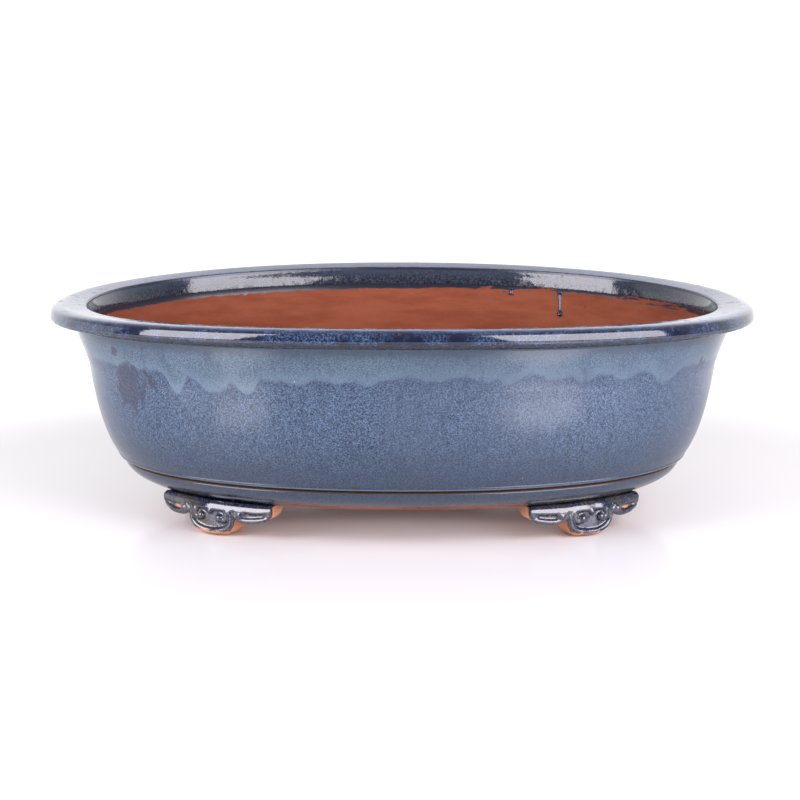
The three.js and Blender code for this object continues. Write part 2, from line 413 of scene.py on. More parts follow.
class Wiring:
    """Short calls that add and join nodes in one tree."""

    def __init__(self, tree: bpy.types.NodeTree) -> None:
        """Keeps the tree that the nodes go into."""
        self.tree = tree

    def add(self, kind: str, **settings: object) -> bpy.types.Node:
        """Adds a node and sets its properties.

        Args:
            kind: Blender's name for the node.
            **settings: Its properties.

        Returns:
            The node.
        """
        node = self.tree.nodes.new(kind)
        for name, value in settings.items():
            setattr(node, name, value)
        return node

    def feed(self, socket: Socket, value: object) -> None:
        """Links a socket to a socket, or sets it to a plain value.

        Args:
            socket: The socket that is fed.
            value: A socket, a number or a colour.
        """
        if isinstance(value, bpy.types.NodeSocket):
            self.tree.links.new(value, socket)
        elif isinstance(value, tuple) and socket.type == "RGBA":
            socket.default_value = (*value, 1.0)
        else:
            socket.default_value = value

    def maths(self, operation: str, first: object, second: object = 0.0) -> Socket:
        """One Math node.

        Args:
            operation: What it does.
            first: Its first value.
            second: Its second value.

        Returns:
            The result.
        """
        node = self.add("ShaderNodeMath", operation=operation)
        self.feed(node.inputs[0], first)
        self.feed(node.inputs[1], second)
        return node.outputs[0]

    def times(self, first: object, *others: object) -> Socket:
        """The values multiplied.

        Args:
            first: The first value.
            *others: The others.

        Returns:
            Their product.
        """
        for other in others:
            first = self.maths("MULTIPLY", first, other)
        return first

    def plus(self, first: object, *others: object) -> Socket:
        """The values added.

        Args:
            first: The first value.
            *others: The others.

        Returns:
            Their sum.
        """
        for other in others:
            first = self.maths("ADD", first, other)
        return first

    def less(self, first: object, second: object) -> Socket:
        """The first value less the second."""
        return self.maths("SUBTRACT", first, second)

    def most(self, first: object, second: object) -> Socket:
        """The larger of two values."""
        return self.maths("MAXIMUM", first, second)

    def wander(self, cloud: Socket, reach: float, middle: float = 0.5) -> Socket:
        """A cloud turned into a shift of up to half the reach either way."""
        return self.times(self.less(cloud, middle), reach)

    def place(self, name: Place) -> Socket:
        """A value kept at the vertices, 0 on a piece that keeps none."""
        return self.add("ShaderNodeAttribute", attribute_name=name.value).outputs["Fac"]

    def here(self) -> Socket:
        """Where the surface is, in metres."""
        return self.add("ShaderNodeTexCoord").outputs["Object"]

    def stretched(self, vector: Socket, factors: Spot) -> Socket:
        """The vector with each part multiplied.

        Args:
            vector: A position.
            factors: The factor of each part.

        Returns:
            The stretched vector.
        """
        node = self.add("ShaderNodeVectorMath", operation="MULTIPLY")
        self.feed(node.inputs[0], vector)
        node.inputs[1].default_value = factors
        return node.outputs[0]

    def clouds(self, vector: Socket, scale: object, detail: float = 2.0, rough: float = 0.5) -> Socket:
        """Noise between 0 and 1.

        Args:
            vector: A position.
            scale: How fine it is.
            detail: How many finer layers it has.
            rough: How strong those are.

        Returns:
            The noise.
        """
        node = self.add("ShaderNodeTexNoise")
        self.feed(node.inputs["Vector"], vector)
        self.feed(node.inputs["Scale"], scale)
        node.inputs["Detail"].default_value = detail
        node.inputs["Roughness"].default_value = rough
        return node.outputs["Fac"]

    def ramp(self, value: object, low: object, high: object, start: float = 0.0, end: float = 1.0) -> Socket:
        """A smooth step from start at low to end at high.

        Args:
            value: What is stepped.
            low: Where the step starts.
            high: Where it ends.
            start: The result at low.
            end: The result at high.

        Returns:
            The stepped value.
        """
        node = self.add("ShaderNodeMapRange", interpolation_type="SMOOTHSTEP")
        names = ("Value", "From Min", "From Max", "To Min", "To Max")
        for name, number in zip(names, (value, low, high, start, end)):
            self.feed(node.inputs[name], number)
        return node.outputs["Result"]

    def belt(self, value: Socket, *bounds: float) -> Socket:
        """1 between two soft edges, from four bounds in millimetres: rise, full, still full, gone.

        Args:
            value: A value in metres.
            *bounds: The four bounds in order.

        Returns:
            The mask.
        """
        rise, full, last, gone = (bound * MM for bound in bounds)
        return self.times(self.ramp(value, rise, full), self.ramp(value, gone, last))

    def mix(self, share: object, first: object, second: object) -> Socket:
        """A colour mix.

        Args:
            share: How much of the second shows.
            first: The first colour.
            second: The second colour.

        Returns:
            The mixed colour.
        """
        node = self.add("ShaderNodeMix", data_type="RGBA")
        self.feed(node.inputs[0], share)
        self.feed(node.inputs[6], first)
        self.feed(node.inputs[7], second)
        return node.outputs[2]

    def mix_values(self, share: object, first: object, second: object) -> Socket:
        """A mix of two numbers.

        Args:
            share: How much of the second counts.
            first: The first number.
            second: The second number.

        Returns:
            The mixed number.
        """
        node = self.add("ShaderNodeMix", data_type="FLOAT")
        self.feed(node.inputs[0], share)
        self.feed(node.inputs[2], first)
        self.feed(node.inputs[3], second)
        return node.outputs[0]

    def effect(self, tree: bpy.types.NodeTree, **inputs: object) -> bpy.types.Node:
        """Places a shared effect, whose input names start with capitals.

        Args:
            tree: The effect.
            **inputs: Its values by input name, in small letters.

        Returns:
            The placed effect.
        """
        node = self.add("ShaderNodeGroup", node_tree=tree)
        for name, value in inputs.items():
            self.feed(node.inputs[name.title()], value)
        return node

    def bump(self, height: object, distance: float, strength: float) -> Socket:
        """A bump from a height of 0 to 1 that stands `distance` metres.

        Args:
            height: The height.
            distance: How far it stands, in metres.
            strength: How much of it shows.

        Returns:
            The bumped normal.
        """
        node = self.add("ShaderNodeBump")
        node.inputs["Distance"].default_value = distance
        node.inputs["Strength"].default_value = strength
        self.feed(node.inputs["Height"], height)
        return node.outputs["Normal"]


@dataclass(frozen=True)
class Layer:
    """Colour, roughness and relief of one layer of a finish."""

    colour: Socket
    rough: Socket | float
    relief: Socket

    @classmethod
    def of(cls, effect: bpy.types.Node) -> "Layer":
        """The layer that a shared effect puts out."""
        return cls(*(effect.outputs[name] for name in ("Color", "Roughness", "Height")))

    def covered(self, wires: Wiring, share: Socket, other: "Layer") -> "Layer":
        """This layer with another one over it.

        Args:
            wires: The material's wiring.
            share: Mask of the upper layer.
            other: The upper layer.

        Returns:
            Both as one layer.
        """
        return Layer(
            wires.mix(share, self.colour, other.colour),
            wires.mix_values(share, self.rough, other.rough),
            wires.mix_values(share, self.relief, other.relief),
        )

    def lay_on(self, wires: Wiring, shader: bpy.types.Node, depth: float, strength: float) -> None:
        """Feeds the shader.

        Args:
            wires: The material's wiring.
            shader: The Principled shader.
            depth: How far the relief stands.
            strength: Strength of the relief's bump.
        """
        wires.feed(shader.inputs["Base Color"], self.colour)
        wires.feed(shader.inputs["Roughness"], self.rough)
        wires.feed(shader.inputs["Normal"], wires.bump(self.relief, depth * MM, strength))


class SocketKind(str, Enum):
    """Kinds of sockets on a shared effect."""

    NUMBER = "NodeSocketFloat"
    COLOUR = "NodeSocketColor"
    VECTOR = "NodeSocketVector"


NUMBER, COLOUR, VECTOR = SocketKind.NUMBER, SocketKind.COLOUR, SocketKind.VECTOR
LAYER_OUTPUTS = {"Color": COLOUR, "Roughness": NUMBER, "Height": NUMBER}


def new_effect(
    name: str, inputs: dict[str, tuple[SocketKind, object]], outputs: dict[str, SocketKind]
) -> tuple[Wiring, bpy.types.NodeOutputs, bpy.types.NodeInputs]:
    """Starts a shared effect.

    Args:
        name: The effect's name.
        inputs: Each input's kind and value.
        outputs: Each output's kind.

    Returns:
        The wiring, the given values by name and the results by name.
    """
    tree = bpy.data.node_groups.new(name, "ShaderNodeTree")
    for label, (kind, value) in inputs.items():
        socket = tree.interface.new_socket(label, in_out="INPUT", socket_type=kind.value)
        if kind is COLOUR:
            socket.default_value = (*value, 1.0)
        elif kind is NUMBER:
            socket.default_value = value
    for label, kind in outputs.items():
        tree.interface.new_socket(label, in_out="OUTPUT", socket_type=kind.value)
    wires = Wiring(tree)
    given = wires.add("NodeGroupInput").outputs
    return wires, given, wires.add("NodeGroupOutput").inputs


# ------------------------------------------------------------------ shared effects


@dataclass(frozen=True)
class Mottle:
    """One mottled glaze.

    Attributes:
        base: Its middle colour.
        light: Colour of the light grains.
        dark: Colour of the dark grains.
        scale: How fine the grain is.
        amount: How strongly it shows.
    """

    base: Colour
    light: Colour
    dark: Colour
    scale: float
    amount: float = 1.0

    def laid(self, wires: Wiring, grain: bpy.types.NodeTree, vector: Socket) -> bpy.types.Node:
        """Places the grain effect with these values.

        Args:
            wires: Wiring of the material or effect.
            grain: The mottled grain effect.
            vector: The surface position.

        Returns:
            The placed effect.
        """
        return wires.effect(grain, vector=vector, **vars(self))


@dataclass(frozen=True)
class Effects:
    """The shared effects, built once.

    Attributes:
        specks: Scattered round specks.
        grain: The grain of a mottled glaze.
        clay: Fired clay.
        dark_glaze: Thick navy glaze.
    """

    specks: bpy.types.NodeTree
    grain: bpy.types.NodeTree
    clay: bpy.types.NodeTree
    dark_glaze: bpy.types.NodeTree

    @classmethod
    def build(cls) -> "Effects":
        """Makes each node group."""
        specks = cls.specks_effect()
        grain = cls.grain_effect()
        return cls(specks, grain, cls.clay_effect(specks), cls.dark_glaze_effect(grain, specks))

    @staticmethod
    def specks_effect() -> bpy.types.NodeTree:
        """Scattered round specks: iron spots, pinholes and grog."""
        wires, given, results = new_effect(
            "Scattered specks",
            {"Vector": (VECTOR, None), "Spread": (NUMBER, 90.0),
             "Share": (NUMBER, 0.2), "Size": (NUMBER, 0.1)},
            {"Mask": NUMBER},
        )
        cells = wires.add("ShaderNodeTexVoronoi")
        wires.feed(cells.inputs["Vector"], given["Vector"])
        wires.feed(cells.inputs["Scale"], given["Spread"])
        chance = wires.add("ShaderNodeSeparateColor")
        wires.feed(chance.inputs[0], cells.outputs["Color"])
        chosen = wires.maths("LESS_THAN", chance.outputs[0], given["Share"])
        radius = wires.times(given["Size"], wires.plus(chance.outputs[1], 0.35))
        fray = wires.less(wires.times(wires.clouds(given["Vector"], 900.0), 0.05), 0.02)
        spot = wires.ramp(wires.plus(cells.outputs["Distance"], fray), radius, wires.times(radius, 0.55))
        wires.feed(results["Mask"], wires.times(spot, chosen))
        return wires.tree

    @staticmethod
    def grain_effect() -> bpy.types.NodeTree:
        """The fine light and dark grain of a mottled glaze."""
        wires, given, results = new_effect(
            "Mottled grain",
            {"Vector": (VECTOR, None), "Base": (COLOUR, (0.04, 0.06, 0.12)),
             "Light": (COLOUR, (0.1, 0.13, 0.2)), "Dark": (COLOUR, (0.015, 0.02, 0.04)),
             "Scale": (NUMBER, 700.0), "Amount": (NUMBER, 1.0)},
            {"Color": COLOUR, "Height": NUMBER},
        )
        coarse = wires.clouds(given["Vector"], given["Scale"], 3.0, 0.65)
        fine = wires.clouds(given["Vector"], wires.times(given["Scale"], 2.3), 2.0, 0.6)
        both = wires.plus(wires.times(coarse, 0.6), wires.times(fine, 0.4))
        light = wires.times(wires.ramp(both, 0.5, 0.57), given["Amount"])
        dark = wires.times(wires.ramp(both, 0.49, 0.425), given["Amount"])
        tinted = wires.mix(light, given["Base"], given["Light"])
        wires.feed(results["Color"], wires.mix(dark, tinted, given["Dark"]))
        wires.feed(results["Height"], both)
        return wires.tree

    @staticmethod
    def clay_effect(specks: bpy.types.NodeTree) -> bpy.types.NodeTree:
        """Fired red clay with wiping marks, grog and dark specks.

        Args:
            specks: The scattered specks effect.

        Returns:
            The effect.
        """
        wires, given, results = new_effect(
            "Fired clay",
            {"Vector": (VECTOR, None), "Tone": (COLOUR, (0.178, 0.036, 0.0085)),
             "Deep": (COLOUR, (0.142, 0.0265, 0.006))},
            LAYER_OUTPUTS,
        )
        grog, grit = (0.3, 0.1, 0.045), (0.05, 0.02, 0.012)
        wiped = wires.clouds(wires.stretched(given["Vector"], (1.0, 1.0, 5.0)), 22.0, 4.0, 0.6)
        fine = wires.clouds(given["Vector"], 850.0, 2.0, 0.6)
        colour = wires.mix(wires.ramp(wiped, 0.35, 0.68), given["Tone"], given["Deep"])
        colour = wires.mix(wires.times(wires.ramp(fine, 0.6, 0.75), 0.25), colour, grog)
        dark = wires.effect(specks, vector=given["Vector"], spread=120.0, share=0.15, size=0.15).outputs[0]
        wires.feed(results["Color"], wires.mix(wires.times(dark, 0.8), colour, grit))
        wires.feed(results["Roughness"], wires.ramp(wiped, 0.3, 0.7, 0.78, 0.92))
        wires.feed(results["Height"], wires.plus(wires.times(fine, 0.5), wiped))
        return wires.tree

    @staticmethod
    def dark_glaze_effect(grain: bpy.types.NodeTree, specks: bpy.types.NodeTree) -> bpy.types.NodeTree:
        """Thick navy glaze with a crystal-like blue speckle that comes and goes.

        Args:
            grain: The mottled grain effect.
            specks: The scattered specks effect.

        Returns:
            The effect.
        """
        wires, given, results = new_effect(
            "Dark navy glaze",
            {"Vector": (VECTOR, None), "Bloom": (NUMBER, 0.5), "Thin": (NUMBER, 0.0)},
            LAYER_OUTPUTS,
        )
        navy, tan = (0.0035, 0.0055, 0.019), (0.4, 0.25, 0.15)
        speckle = Mottle((0.012, 0.025, 0.062), (0.06, 0.105, 0.2), (0.002, 0.003, 0.01), 760.0)
        worn = Mottle((0.017, 0.018, 0.024), (0.064, 0.06, 0.068), (0.009, 0.008, 0.008), 520.0)
        here = given["Vector"]
        bloom = wires.ramp(wires.clouds(here, 62.0, 5.0, 0.68), wires.less(0.9, given["Bloom"]), 0.62)
        colour = wires.mix(wires.times(bloom, 0.68), navy, speckle.laid(wires, grain, here).outputs["Color"])
        colour = wires.mix(given["Thin"], colour, worn.laid(wires, grain, here).outputs["Color"])
        spots = wires.effect(specks, vector=here, spread=60.0, share=0.08, size=0.09).outputs[0]
        wires.feed(results["Color"], wires.mix(spots, colour, tan))
        wires.feed(results["Roughness"], wires.ramp(given["Thin"], 0.0, 1.0, 0.07, 0.75))
        ripple = wires.clouds(here, 130.0, 2.0, 0.4)
        wires.feed(results["Height"], wires.less(ripple, wires.times(spots, 0.5)))
        return wires.tree


# ------------------------------------------------------------------ finishes


def new_finish(name: str) -> tuple[bpy.types.Material, Wiring, bpy.types.Node]:
    """An empty material, its wiring and its Principled shader.

    Args:
        name: The finish's name.

    Returns:
        The material, its wiring and its shader.
    """
    material = bpy.data.materials.new(name)
    material.use_nodes = True
    return material, Wiring(material.node_tree), material.node_tree.nodes["Principled BSDF"]


@dataclass(frozen=True)
class BodyGlaze:
    """Mottled grey-blue glaze with pale runs under the lip, over red clay inside.

    Attributes:
        effects: The shared effects.
        blue: The glaze of the body.
        pale: The pale runs.
        patch: The dark patch near the left end.
        stains: Middle and radius of each part of the patch, and of a mark at the right.
        edge_tone: Clay of the bare bottom edge.
        edge_deep: Its darker places.
    """

    effects: Effects
    blue: Mottle = Mottle((0.0305, 0.054, 0.1005), (0.08, 0.13, 0.21), (0.002, 0.004, 0.011), 980.0)
    pale: Mottle = Mottle((0.0605, 0.098, 0.143), (0.105, 0.16, 0.21), (0.024, 0.046, 0.08), 980.0, 0.75)
    patch: Mottle = Mottle((0.017, 0.022, 0.05), (0.045, 0.056, 0.105), (0.006, 0.007, 0.018), 900.0)
    stains: tuple[tuple[Spot, float], ...] = (
        ((-183.0, -97.0, 106.0), 19.0), ((-188.0, -92.0, 129.0), 11.0),
        ((-167.0, -108.0, 111.0), 13.0), ((207.0, -77.0, 121.0), 3.0),
    )
    edge_tone: Colour = (0.25, 0.068, 0.031)
    edge_deep: Colour = (0.165, 0.042, 0.019)

    def build(self) -> bpy.types.Material:
        """Wires the finish."""
        material, wires, shader = new_finish("Body glaze")
        here = wires.here()
        height = wires.place(Place.HEIGHT)
        ragged = wires.wander(wires.clouds(here, 260.0, 3.0), 3.0 * MM)
        edge = wires.less(wires.plus(height, wires.times(ragged, 0.35)), wires.place(Place.BARE_LINE))
        edge_clay = wires.effect(self.effects.clay, vector=here, tone=self.edge_tone, deep=self.edge_deep)
        outside = self.outside(wires, here, height).covered(
            wires, wires.ramp(edge, 0.3 * MM, -0.3 * MM), Layer.of(edge_clay)
        )
        inside = self.inside(wires, here, wires.plus(height, ragged))
        outside.covered(wires, wires.place(Place.INSIDE), inside).lay_on(wires, shader, 0.1, 0.6)
        return material

    def inside(self, wires: Wiring, here: Socket, height: Socket) -> Layer:
        """Bare clay, with the torn and brushed end of the glaze over it.

        Args:
            wires: The material's wiring.
            here: The surface position.
            height: The height before the sag, a little ragged.

        Returns:
            The inner face.
        """
        film = (0.016, 0.02, 0.034)
        dark = wires.effect(self.effects.dark_glaze, vector=here, bloom=0.3, thin=0.22)
        glaze = Layer(wires.mix(0.6, dark.outputs["Color"], film), 0.3, dark.outputs["Height"])
        bristles = wires.clouds(wires.stretched(here, (0.35, 0.35, 3.2)), 95.0, 4.0, 0.62)
        brush = wires.times(wires.wander(bristles, 75.0 * MM, 0.56), wires.place(Place.BRUSHED))
        above = wires.less(wires.plus(height, brush), wires.place(Place.GLAZE_LINE))
        clay = Layer.of(wires.effect(self.effects.clay, vector=here))
        return clay.covered(wires, wires.ramp(above, -0.3 * MM, 0.3 * MM), glaze)

    def outside(self, wires: Wiring, here: Socket, height: Socket) -> Layer:
        """The glazed outer face.

        Args:
            wires: The material's wiring.
            here: The surface position.
            height: The height before the sag.

        Returns:
            The outer face.
        """
        thin, shore = (0.06, 0.05, 0.045), (0.02, 0.04, 0.09)
        blue = self.blue.laid(wires, self.effects.grain, here)
        pale = self.pale.laid(wires, self.effects.grain, here)
        edge = wires.plus(height, wires.wander(wires.clouds(here, 150.0), 3.0 * MM))
        over = wires.less(edge, wires.place(Place.FRINGE))
        colour = wires.mix(wires.ramp(over, -5.0 * MM, -1.0 * MM, 0.0, 0.22), blue.outputs["Color"], shore)
        patchy = wires.ramp(wires.clouds(here, 48.0, 3.0), 0.3, 0.62, 0.55, 1.0)
        cover = wires.times(wires.ramp(over, -1.8 * MM, 2.6 * MM), patchy)
        colour = wires.mix(cover, colour, pale.outputs["Color"])
        drift = wires.clouds(wires.stretched(here, (1.0, 1.0, 0.35)), 14.0, 3.0, 0.55)
        colour = self.shaded(wires, here, colour, height, over, drift)
        colour = self.marked(wires, here, colour)
        colour = self.lined(wires, height, colour)
        pooled = wires.effect(self.effects.dark_glaze, vector=here, bloom=0.35)
        colour = wires.mix(wires.place(Place.POOL), colour, pooled.outputs["Color"])
        colour = wires.mix(wires.place(Place.THIN), colour, thin)
        rough = wires.mix_values(cover, wires.ramp(drift, 0.3, 0.7, 0.16, 0.26), 0.2)
        swell = wires.clouds(here, 90.0, 2.0, 0.4)
        relief = wires.plus(wires.times(blue.outputs["Height"], 0.35), wires.times(cover, 0.5), swell)
        return Layer(colour, rough, relief)

    def shaded(
        self, wires: Wiring, here: Socket, colour: Socket, height: Socket, over: Socket, drift: Socket
    ) -> Socket:
        """Adds the lighter run ends, the slow drift, a darker tint towards the groove and painted shade under
        the lip.

        Args:
            wires: The material's wiring.
            here: The surface position.
            colour: The glaze so far.
            height: The height before the sag.
            over: Height over the lower edge of the pale runs.
            drift: Slow clouds.

        Returns:
            The shaded colour.
        """
        bead, haze, streak = (0.092, 0.142, 0.196), (0.045, 0.062, 0.1), (0.018, 0.03, 0.07)
        darker_low_tint, painted_shade_under_lip = (0.018, 0.029, 0.051), (0.028, 0.042, 0.07)
        beaded = wires.times(
            wires.ramp(over, -0.8 * MM, 1.5 * MM), wires.ramp(over, 11.0 * MM, 3.0 * MM, 0.0, 0.42)
        )
        streaks = wires.clouds(wires.stretched(here, (1.0, 1.0, 0.07)), 150.0)
        for share, tint in (
            (beaded, bead),
            (wires.ramp(drift, 0.42, 0.65, 0.0, 0.35), haze),
            (wires.ramp(streaks, 0.56, 0.72, 0.0, 0.35), streak),
            # Darker towards the groove.
            (wires.ramp(height, 90.0 * MM, 38.0 * MM, 0.0, 0.72), darker_low_tint),
            # Painted shade: darker just under the lip's overhang.
            (wires.ramp(height, 134.0 * MM, 142.0 * MM, 0.0, 0.74), painted_shade_under_lip),
        ):
            colour = wires.mix(share, colour, tint)
        return colour

    def lined(self, wires: Wiring, height: Socket, colour: Socket) -> Socket:
        """Adds the bare line in the groove and a painted highlight on the crest over it.

        Args:
            wires: The material's wiring.
            height: The height before the sag.
            colour: The glaze so far.

        Returns:
            The lined colour.
        """
        groove_clay, painted_crest_highlight = (0.09, 0.058, 0.045), (0.12, 0.16, 0.22)
        colour = wires.mix(wires.belt(height, 38.9, 39.5, 41.1, 41.5), colour, groove_clay)
        # Painted highlight: a light band along the top of the crest over the groove.
        crest = wires.times(wires.belt(height, 41.6, 42.2, 42.8, 43.6), 0.6)
        return wires.mix(crest, colour, painted_crest_highlight)

    def marked(self, wires: Wiring, here: Socket, colour: Socket) -> Socket:
        """Adds the iron spots, pale specks and one dark patch near the left end.

        Args:
            wires: The material's wiring.
            here: The surface position.
            colour: The glaze so far.

        Returns:
            The marked colour.
        """
        iron, salt = (0.028, 0.018, 0.016), (0.32, 0.28, 0.26)
        spots = wires.effect(self.effects.specks, vector=here, spread=62.0, share=0.16, size=0.13)
        colour = wires.mix(wires.times(spots.outputs[0], 0.85), colour, iron)
        flecks = wires.effect(self.effects.specks, vector=here, spread=85.0, share=0.05, size=0.06)
        colour = wires.mix(wires.times(flecks.outputs[0], 0.8), colour, salt)
        nearest = 1.0
        for middle, radius in self.stains:
            away = wires.add("ShaderNodeVectorMath", operation="DISTANCE")
            wires.feed(away.inputs[0], here)
            away.inputs[1].default_value = tuple(part * MM for part in middle)
            nearest = wires.maths("MINIMUM", wires.less(away.outputs["Value"], radius * MM), nearest)
        torn = wires.clouds(wires.stretched(here, (1.0, 1.0, 0.6)), 70.0, 6.0, 0.75)
        frayed = wires.plus(nearest, wires.wander(torn, 75.0 * MM))
        patch = self.patch.laid(wires, self.effects.grain, here)
        return wires.mix(wires.ramp(frayed, 1.5 * MM, -2.5 * MM, 0.0, 0.85), colour, patch.outputs["Color"])


@dataclass(frozen=True)
class LipGlaze:
    """Thick navy glaze of the lip, worn thin on its edges.

    Attributes:
        effects: The shared effects.
        bloom: How much of it carries the blue speckle.
        inner: The duller glaze of the inner face.
        inner_light: Its lighter upper part.
        top_dark: Darker streaks of the top face.
        top_light: Lighter streaks of the top face.
        broken: Clay that shows where an edge is worn.
        seam: Painted shadow line just under the inner edge.
    """

    effects: Effects
    bloom: float = 0.52
    inner: Mottle = Mottle((0.012, 0.015, 0.026), (0.03, 0.037, 0.058), (0.005, 0.006, 0.01), 620.0)
    inner_light: Colour = (0.021, 0.032, 0.059)
    top_dark: Colour = (0.012, 0.028, 0.085)
    top_light: Colour = (0.04, 0.07, 0.16)
    broken: Colour = (0.3, 0.2, 0.13)
    # Colour of the painted shadow line under the inner edge.
    seam: Colour = (0.006, 0.005, 0.006)

    def build(self) -> bpy.types.Material:
        """Wires the finish."""
        material, wires, shader = new_finish("Lip glaze")
        here = wires.here()
        height = wires.place(Place.HEIGHT)
        inside = wires.place(Place.INSIDE)
        top_face = wires.place(Place.TOP_FACE)
        ragged = wires.clouds(here, 170.0, 4.0, 0.65)
        thin = wires.times(wires.place(Place.THIN), wires.ramp(ragged, 0.35, 0.6))
        glaze = Layer.of(wires.effect(self.effects.dark_glaze, vector=here, bloom=self.bloom, thin=thin))
        inner = self.inner_colour(wires, here, height)
        streaks = wires.clouds(wires.stretched(here, (1.0, 1.0, 0.2)), 110.0, 3.0, 0.6)
        top = wires.mix(wires.ramp(streaks, 0.42, 0.6), self.top_dark, self.top_light)
        worn = wires.times(wires.place(Place.WORN_EDGE), wires.ramp(ragged, 0.6, 0.68), 0.7)
        # Painted shadow: a near-black, rougher line just under the inner edge, where shade falls.
        seam = wires.ramp(wires.place(Place.SEAM), 0.25, 0.6)
        colour = glaze.colour
        for share, tint in ((inside, inner), (top_face, top), (worn, self.broken), (seam, self.seam)):
            colour = wires.mix(share, colour, tint)
        pits = wires.times(wires.ramp(height, 151.0 * MM, 146.0 * MM), wires.ramp(ragged, 0.48, 0.6))
        pits = wires.times(wires.most(pits, wires.ramp(ragged, 0.62, 0.66)), inside)
        rough = wires.mix_values(wires.most(pits, seam), glaze.rough, 0.3)
        rough = wires.most(rough, wires.times(wires.ramp(streaks, 0.5, 0.7, 0.05, 0.3), top_face))
        waves = wires.times(ragged, wires.ramp(inside, 0.0, 1.0, 0.5, 1.6))
        Layer(colour, rough, wires.plus(glaze.relief, waves)).lay_on(wires, shader, 0.12, 0.5)
        shader.inputs["IOR"].default_value = 1.56
        return material

    def inner_colour(self, wires: Wiring, here: Socket, height: Socket) -> Socket:
        """Colour of the inner face.

        Args:
            wires: The material's wiring.
            here: The surface position.
            height: The height before the sag.

        Returns:
            The colour.
        """
        dull = self.inner.laid(wires, self.effects.grain, here)
        drift = wires.ramp(wires.clouds(here, 24.0, 3.0), 0.4, 0.6, 0.4, 0.9)
        lighter = wires.times(wires.ramp(height, 148.0 * MM, 153.5 * MM), drift)
        return wires.mix(lighter, dull.outputs["Color"], self.inner_light)


@dataclass(frozen=True)
class FootGlaze:
    """Near-black pooled glaze of a foot, over bare clay below and behind.

    Attributes:
        effects: The shared effects.
        pooled: The glaze.
        brown: Where it breaks brown.
        tone: The clay.
        deep: Darker places of the clay.
        clay_below: Height under which the clay is wiped bare.
        clay_behind: Depth behind the face where the glaze ends.
        clay_under: Height of the foot's top, where glaze from the band closes over it.
    """

    effects: Effects
    pooled: Mottle = Mottle((0.009, 0.012, 0.028), (0.042, 0.055, 0.1), (0.004, 0.004, 0.008), 480.0, 0.7)
    brown: Colour = (0.04, 0.034, 0.028)
    tone: Colour = (0.55, 0.24, 0.12)
    deep: Colour = (0.4, 0.15, 0.075)
    clay_below: float = 3.0
    clay_behind: float = 4.2
    clay_under: float = 23.9

    def build(self) -> bpy.types.Material:
        """Wires the finish."""
        material, wires, shader = new_finish("Foot glaze")
        here = wires.here()
        cloud = wires.clouds(here, 105.0, 3.0, 0.6)
        shift = wires.wander(cloud, 9.0 * MM)
        upright = wires.place(Place.HEIGHT)
        low = self.past(wires, wires.plus(upright, shift), self.clay_below, up=False)
        depth = wires.plus(wires.place(Place.BEHIND), wires.times(shift, 0.6))
        behind = wires.times(
            self.past(wires, depth, self.clay_behind),
            wires.ramp(upright, (self.clay_under + 0.5) * MM, (self.clay_under - 0.5) * MM),
        )
        window = wires.times(wires.place(Place.WINDOW), wires.ramp(cloud, 0.5, 0.56))
        bare = wires.most(wires.most(low, behind), window)
        pooled = self.pooled.laid(wires, self.effects.grain, here)
        breaks = wires.ramp(wires.clouds(here, 60.0, 3.0), 0.45, 0.62, 0.0, 0.6)
        glaze = Layer(
            wires.mix(breaks, pooled.outputs["Color"], self.brown),
            wires.ramp(cloud, 0.2, 0.8, 0.05, 0.14), pooled.outputs["Height"],
        )
        clay = Layer.of(wires.effect(self.effects.clay, vector=here, tone=self.tone, deep=self.deep))
        glaze.covered(wires, bare, clay).lay_on(wires, shader, 0.15, 0.5)
        shader.inputs["IOR"].default_value = 1.75
        return material

    def past(self, wires: Wiring, value: Socket, mark: float, up: bool = True) -> Socket:
        """1 where a value in metres is past a mark in millimetres, upwards or downwards."""
        soft = 0.4 if up else -0.4
        return wires.ramp(value, (mark - soft) * MM, (mark + soft) * MM)


@dataclass(frozen=True)
class BareClay:
    """Unglazed fired clay."""

    effects: Effects

    def build(self) -> bpy.types.Material:
        """Wires the finish."""
        material, wires, shader = new_finish("Bare clay")
        Layer.of(wires.effect(self.effects.clay, vector=wires.here())).lay_on(wires, shader, 0.12, 0.6)
        return material


@dataclass(frozen=True)
class Finishes:
    """One material for each finish."""

    body: bpy.types.Material
    lip: bpy.types.Material
    foot: bpy.types.Material
    clay: bpy.types.Material

    @classmethod
    def build(cls) -> "Finishes":
        """Builds every material on the same shared effects."""
        effects = Effects.build()
        return cls(*(kind(effects).build() for kind in (BodyGlaze, LipGlaze, FootGlaze, BareClay)))


# ------------------------------------------------------------------ the pot's members


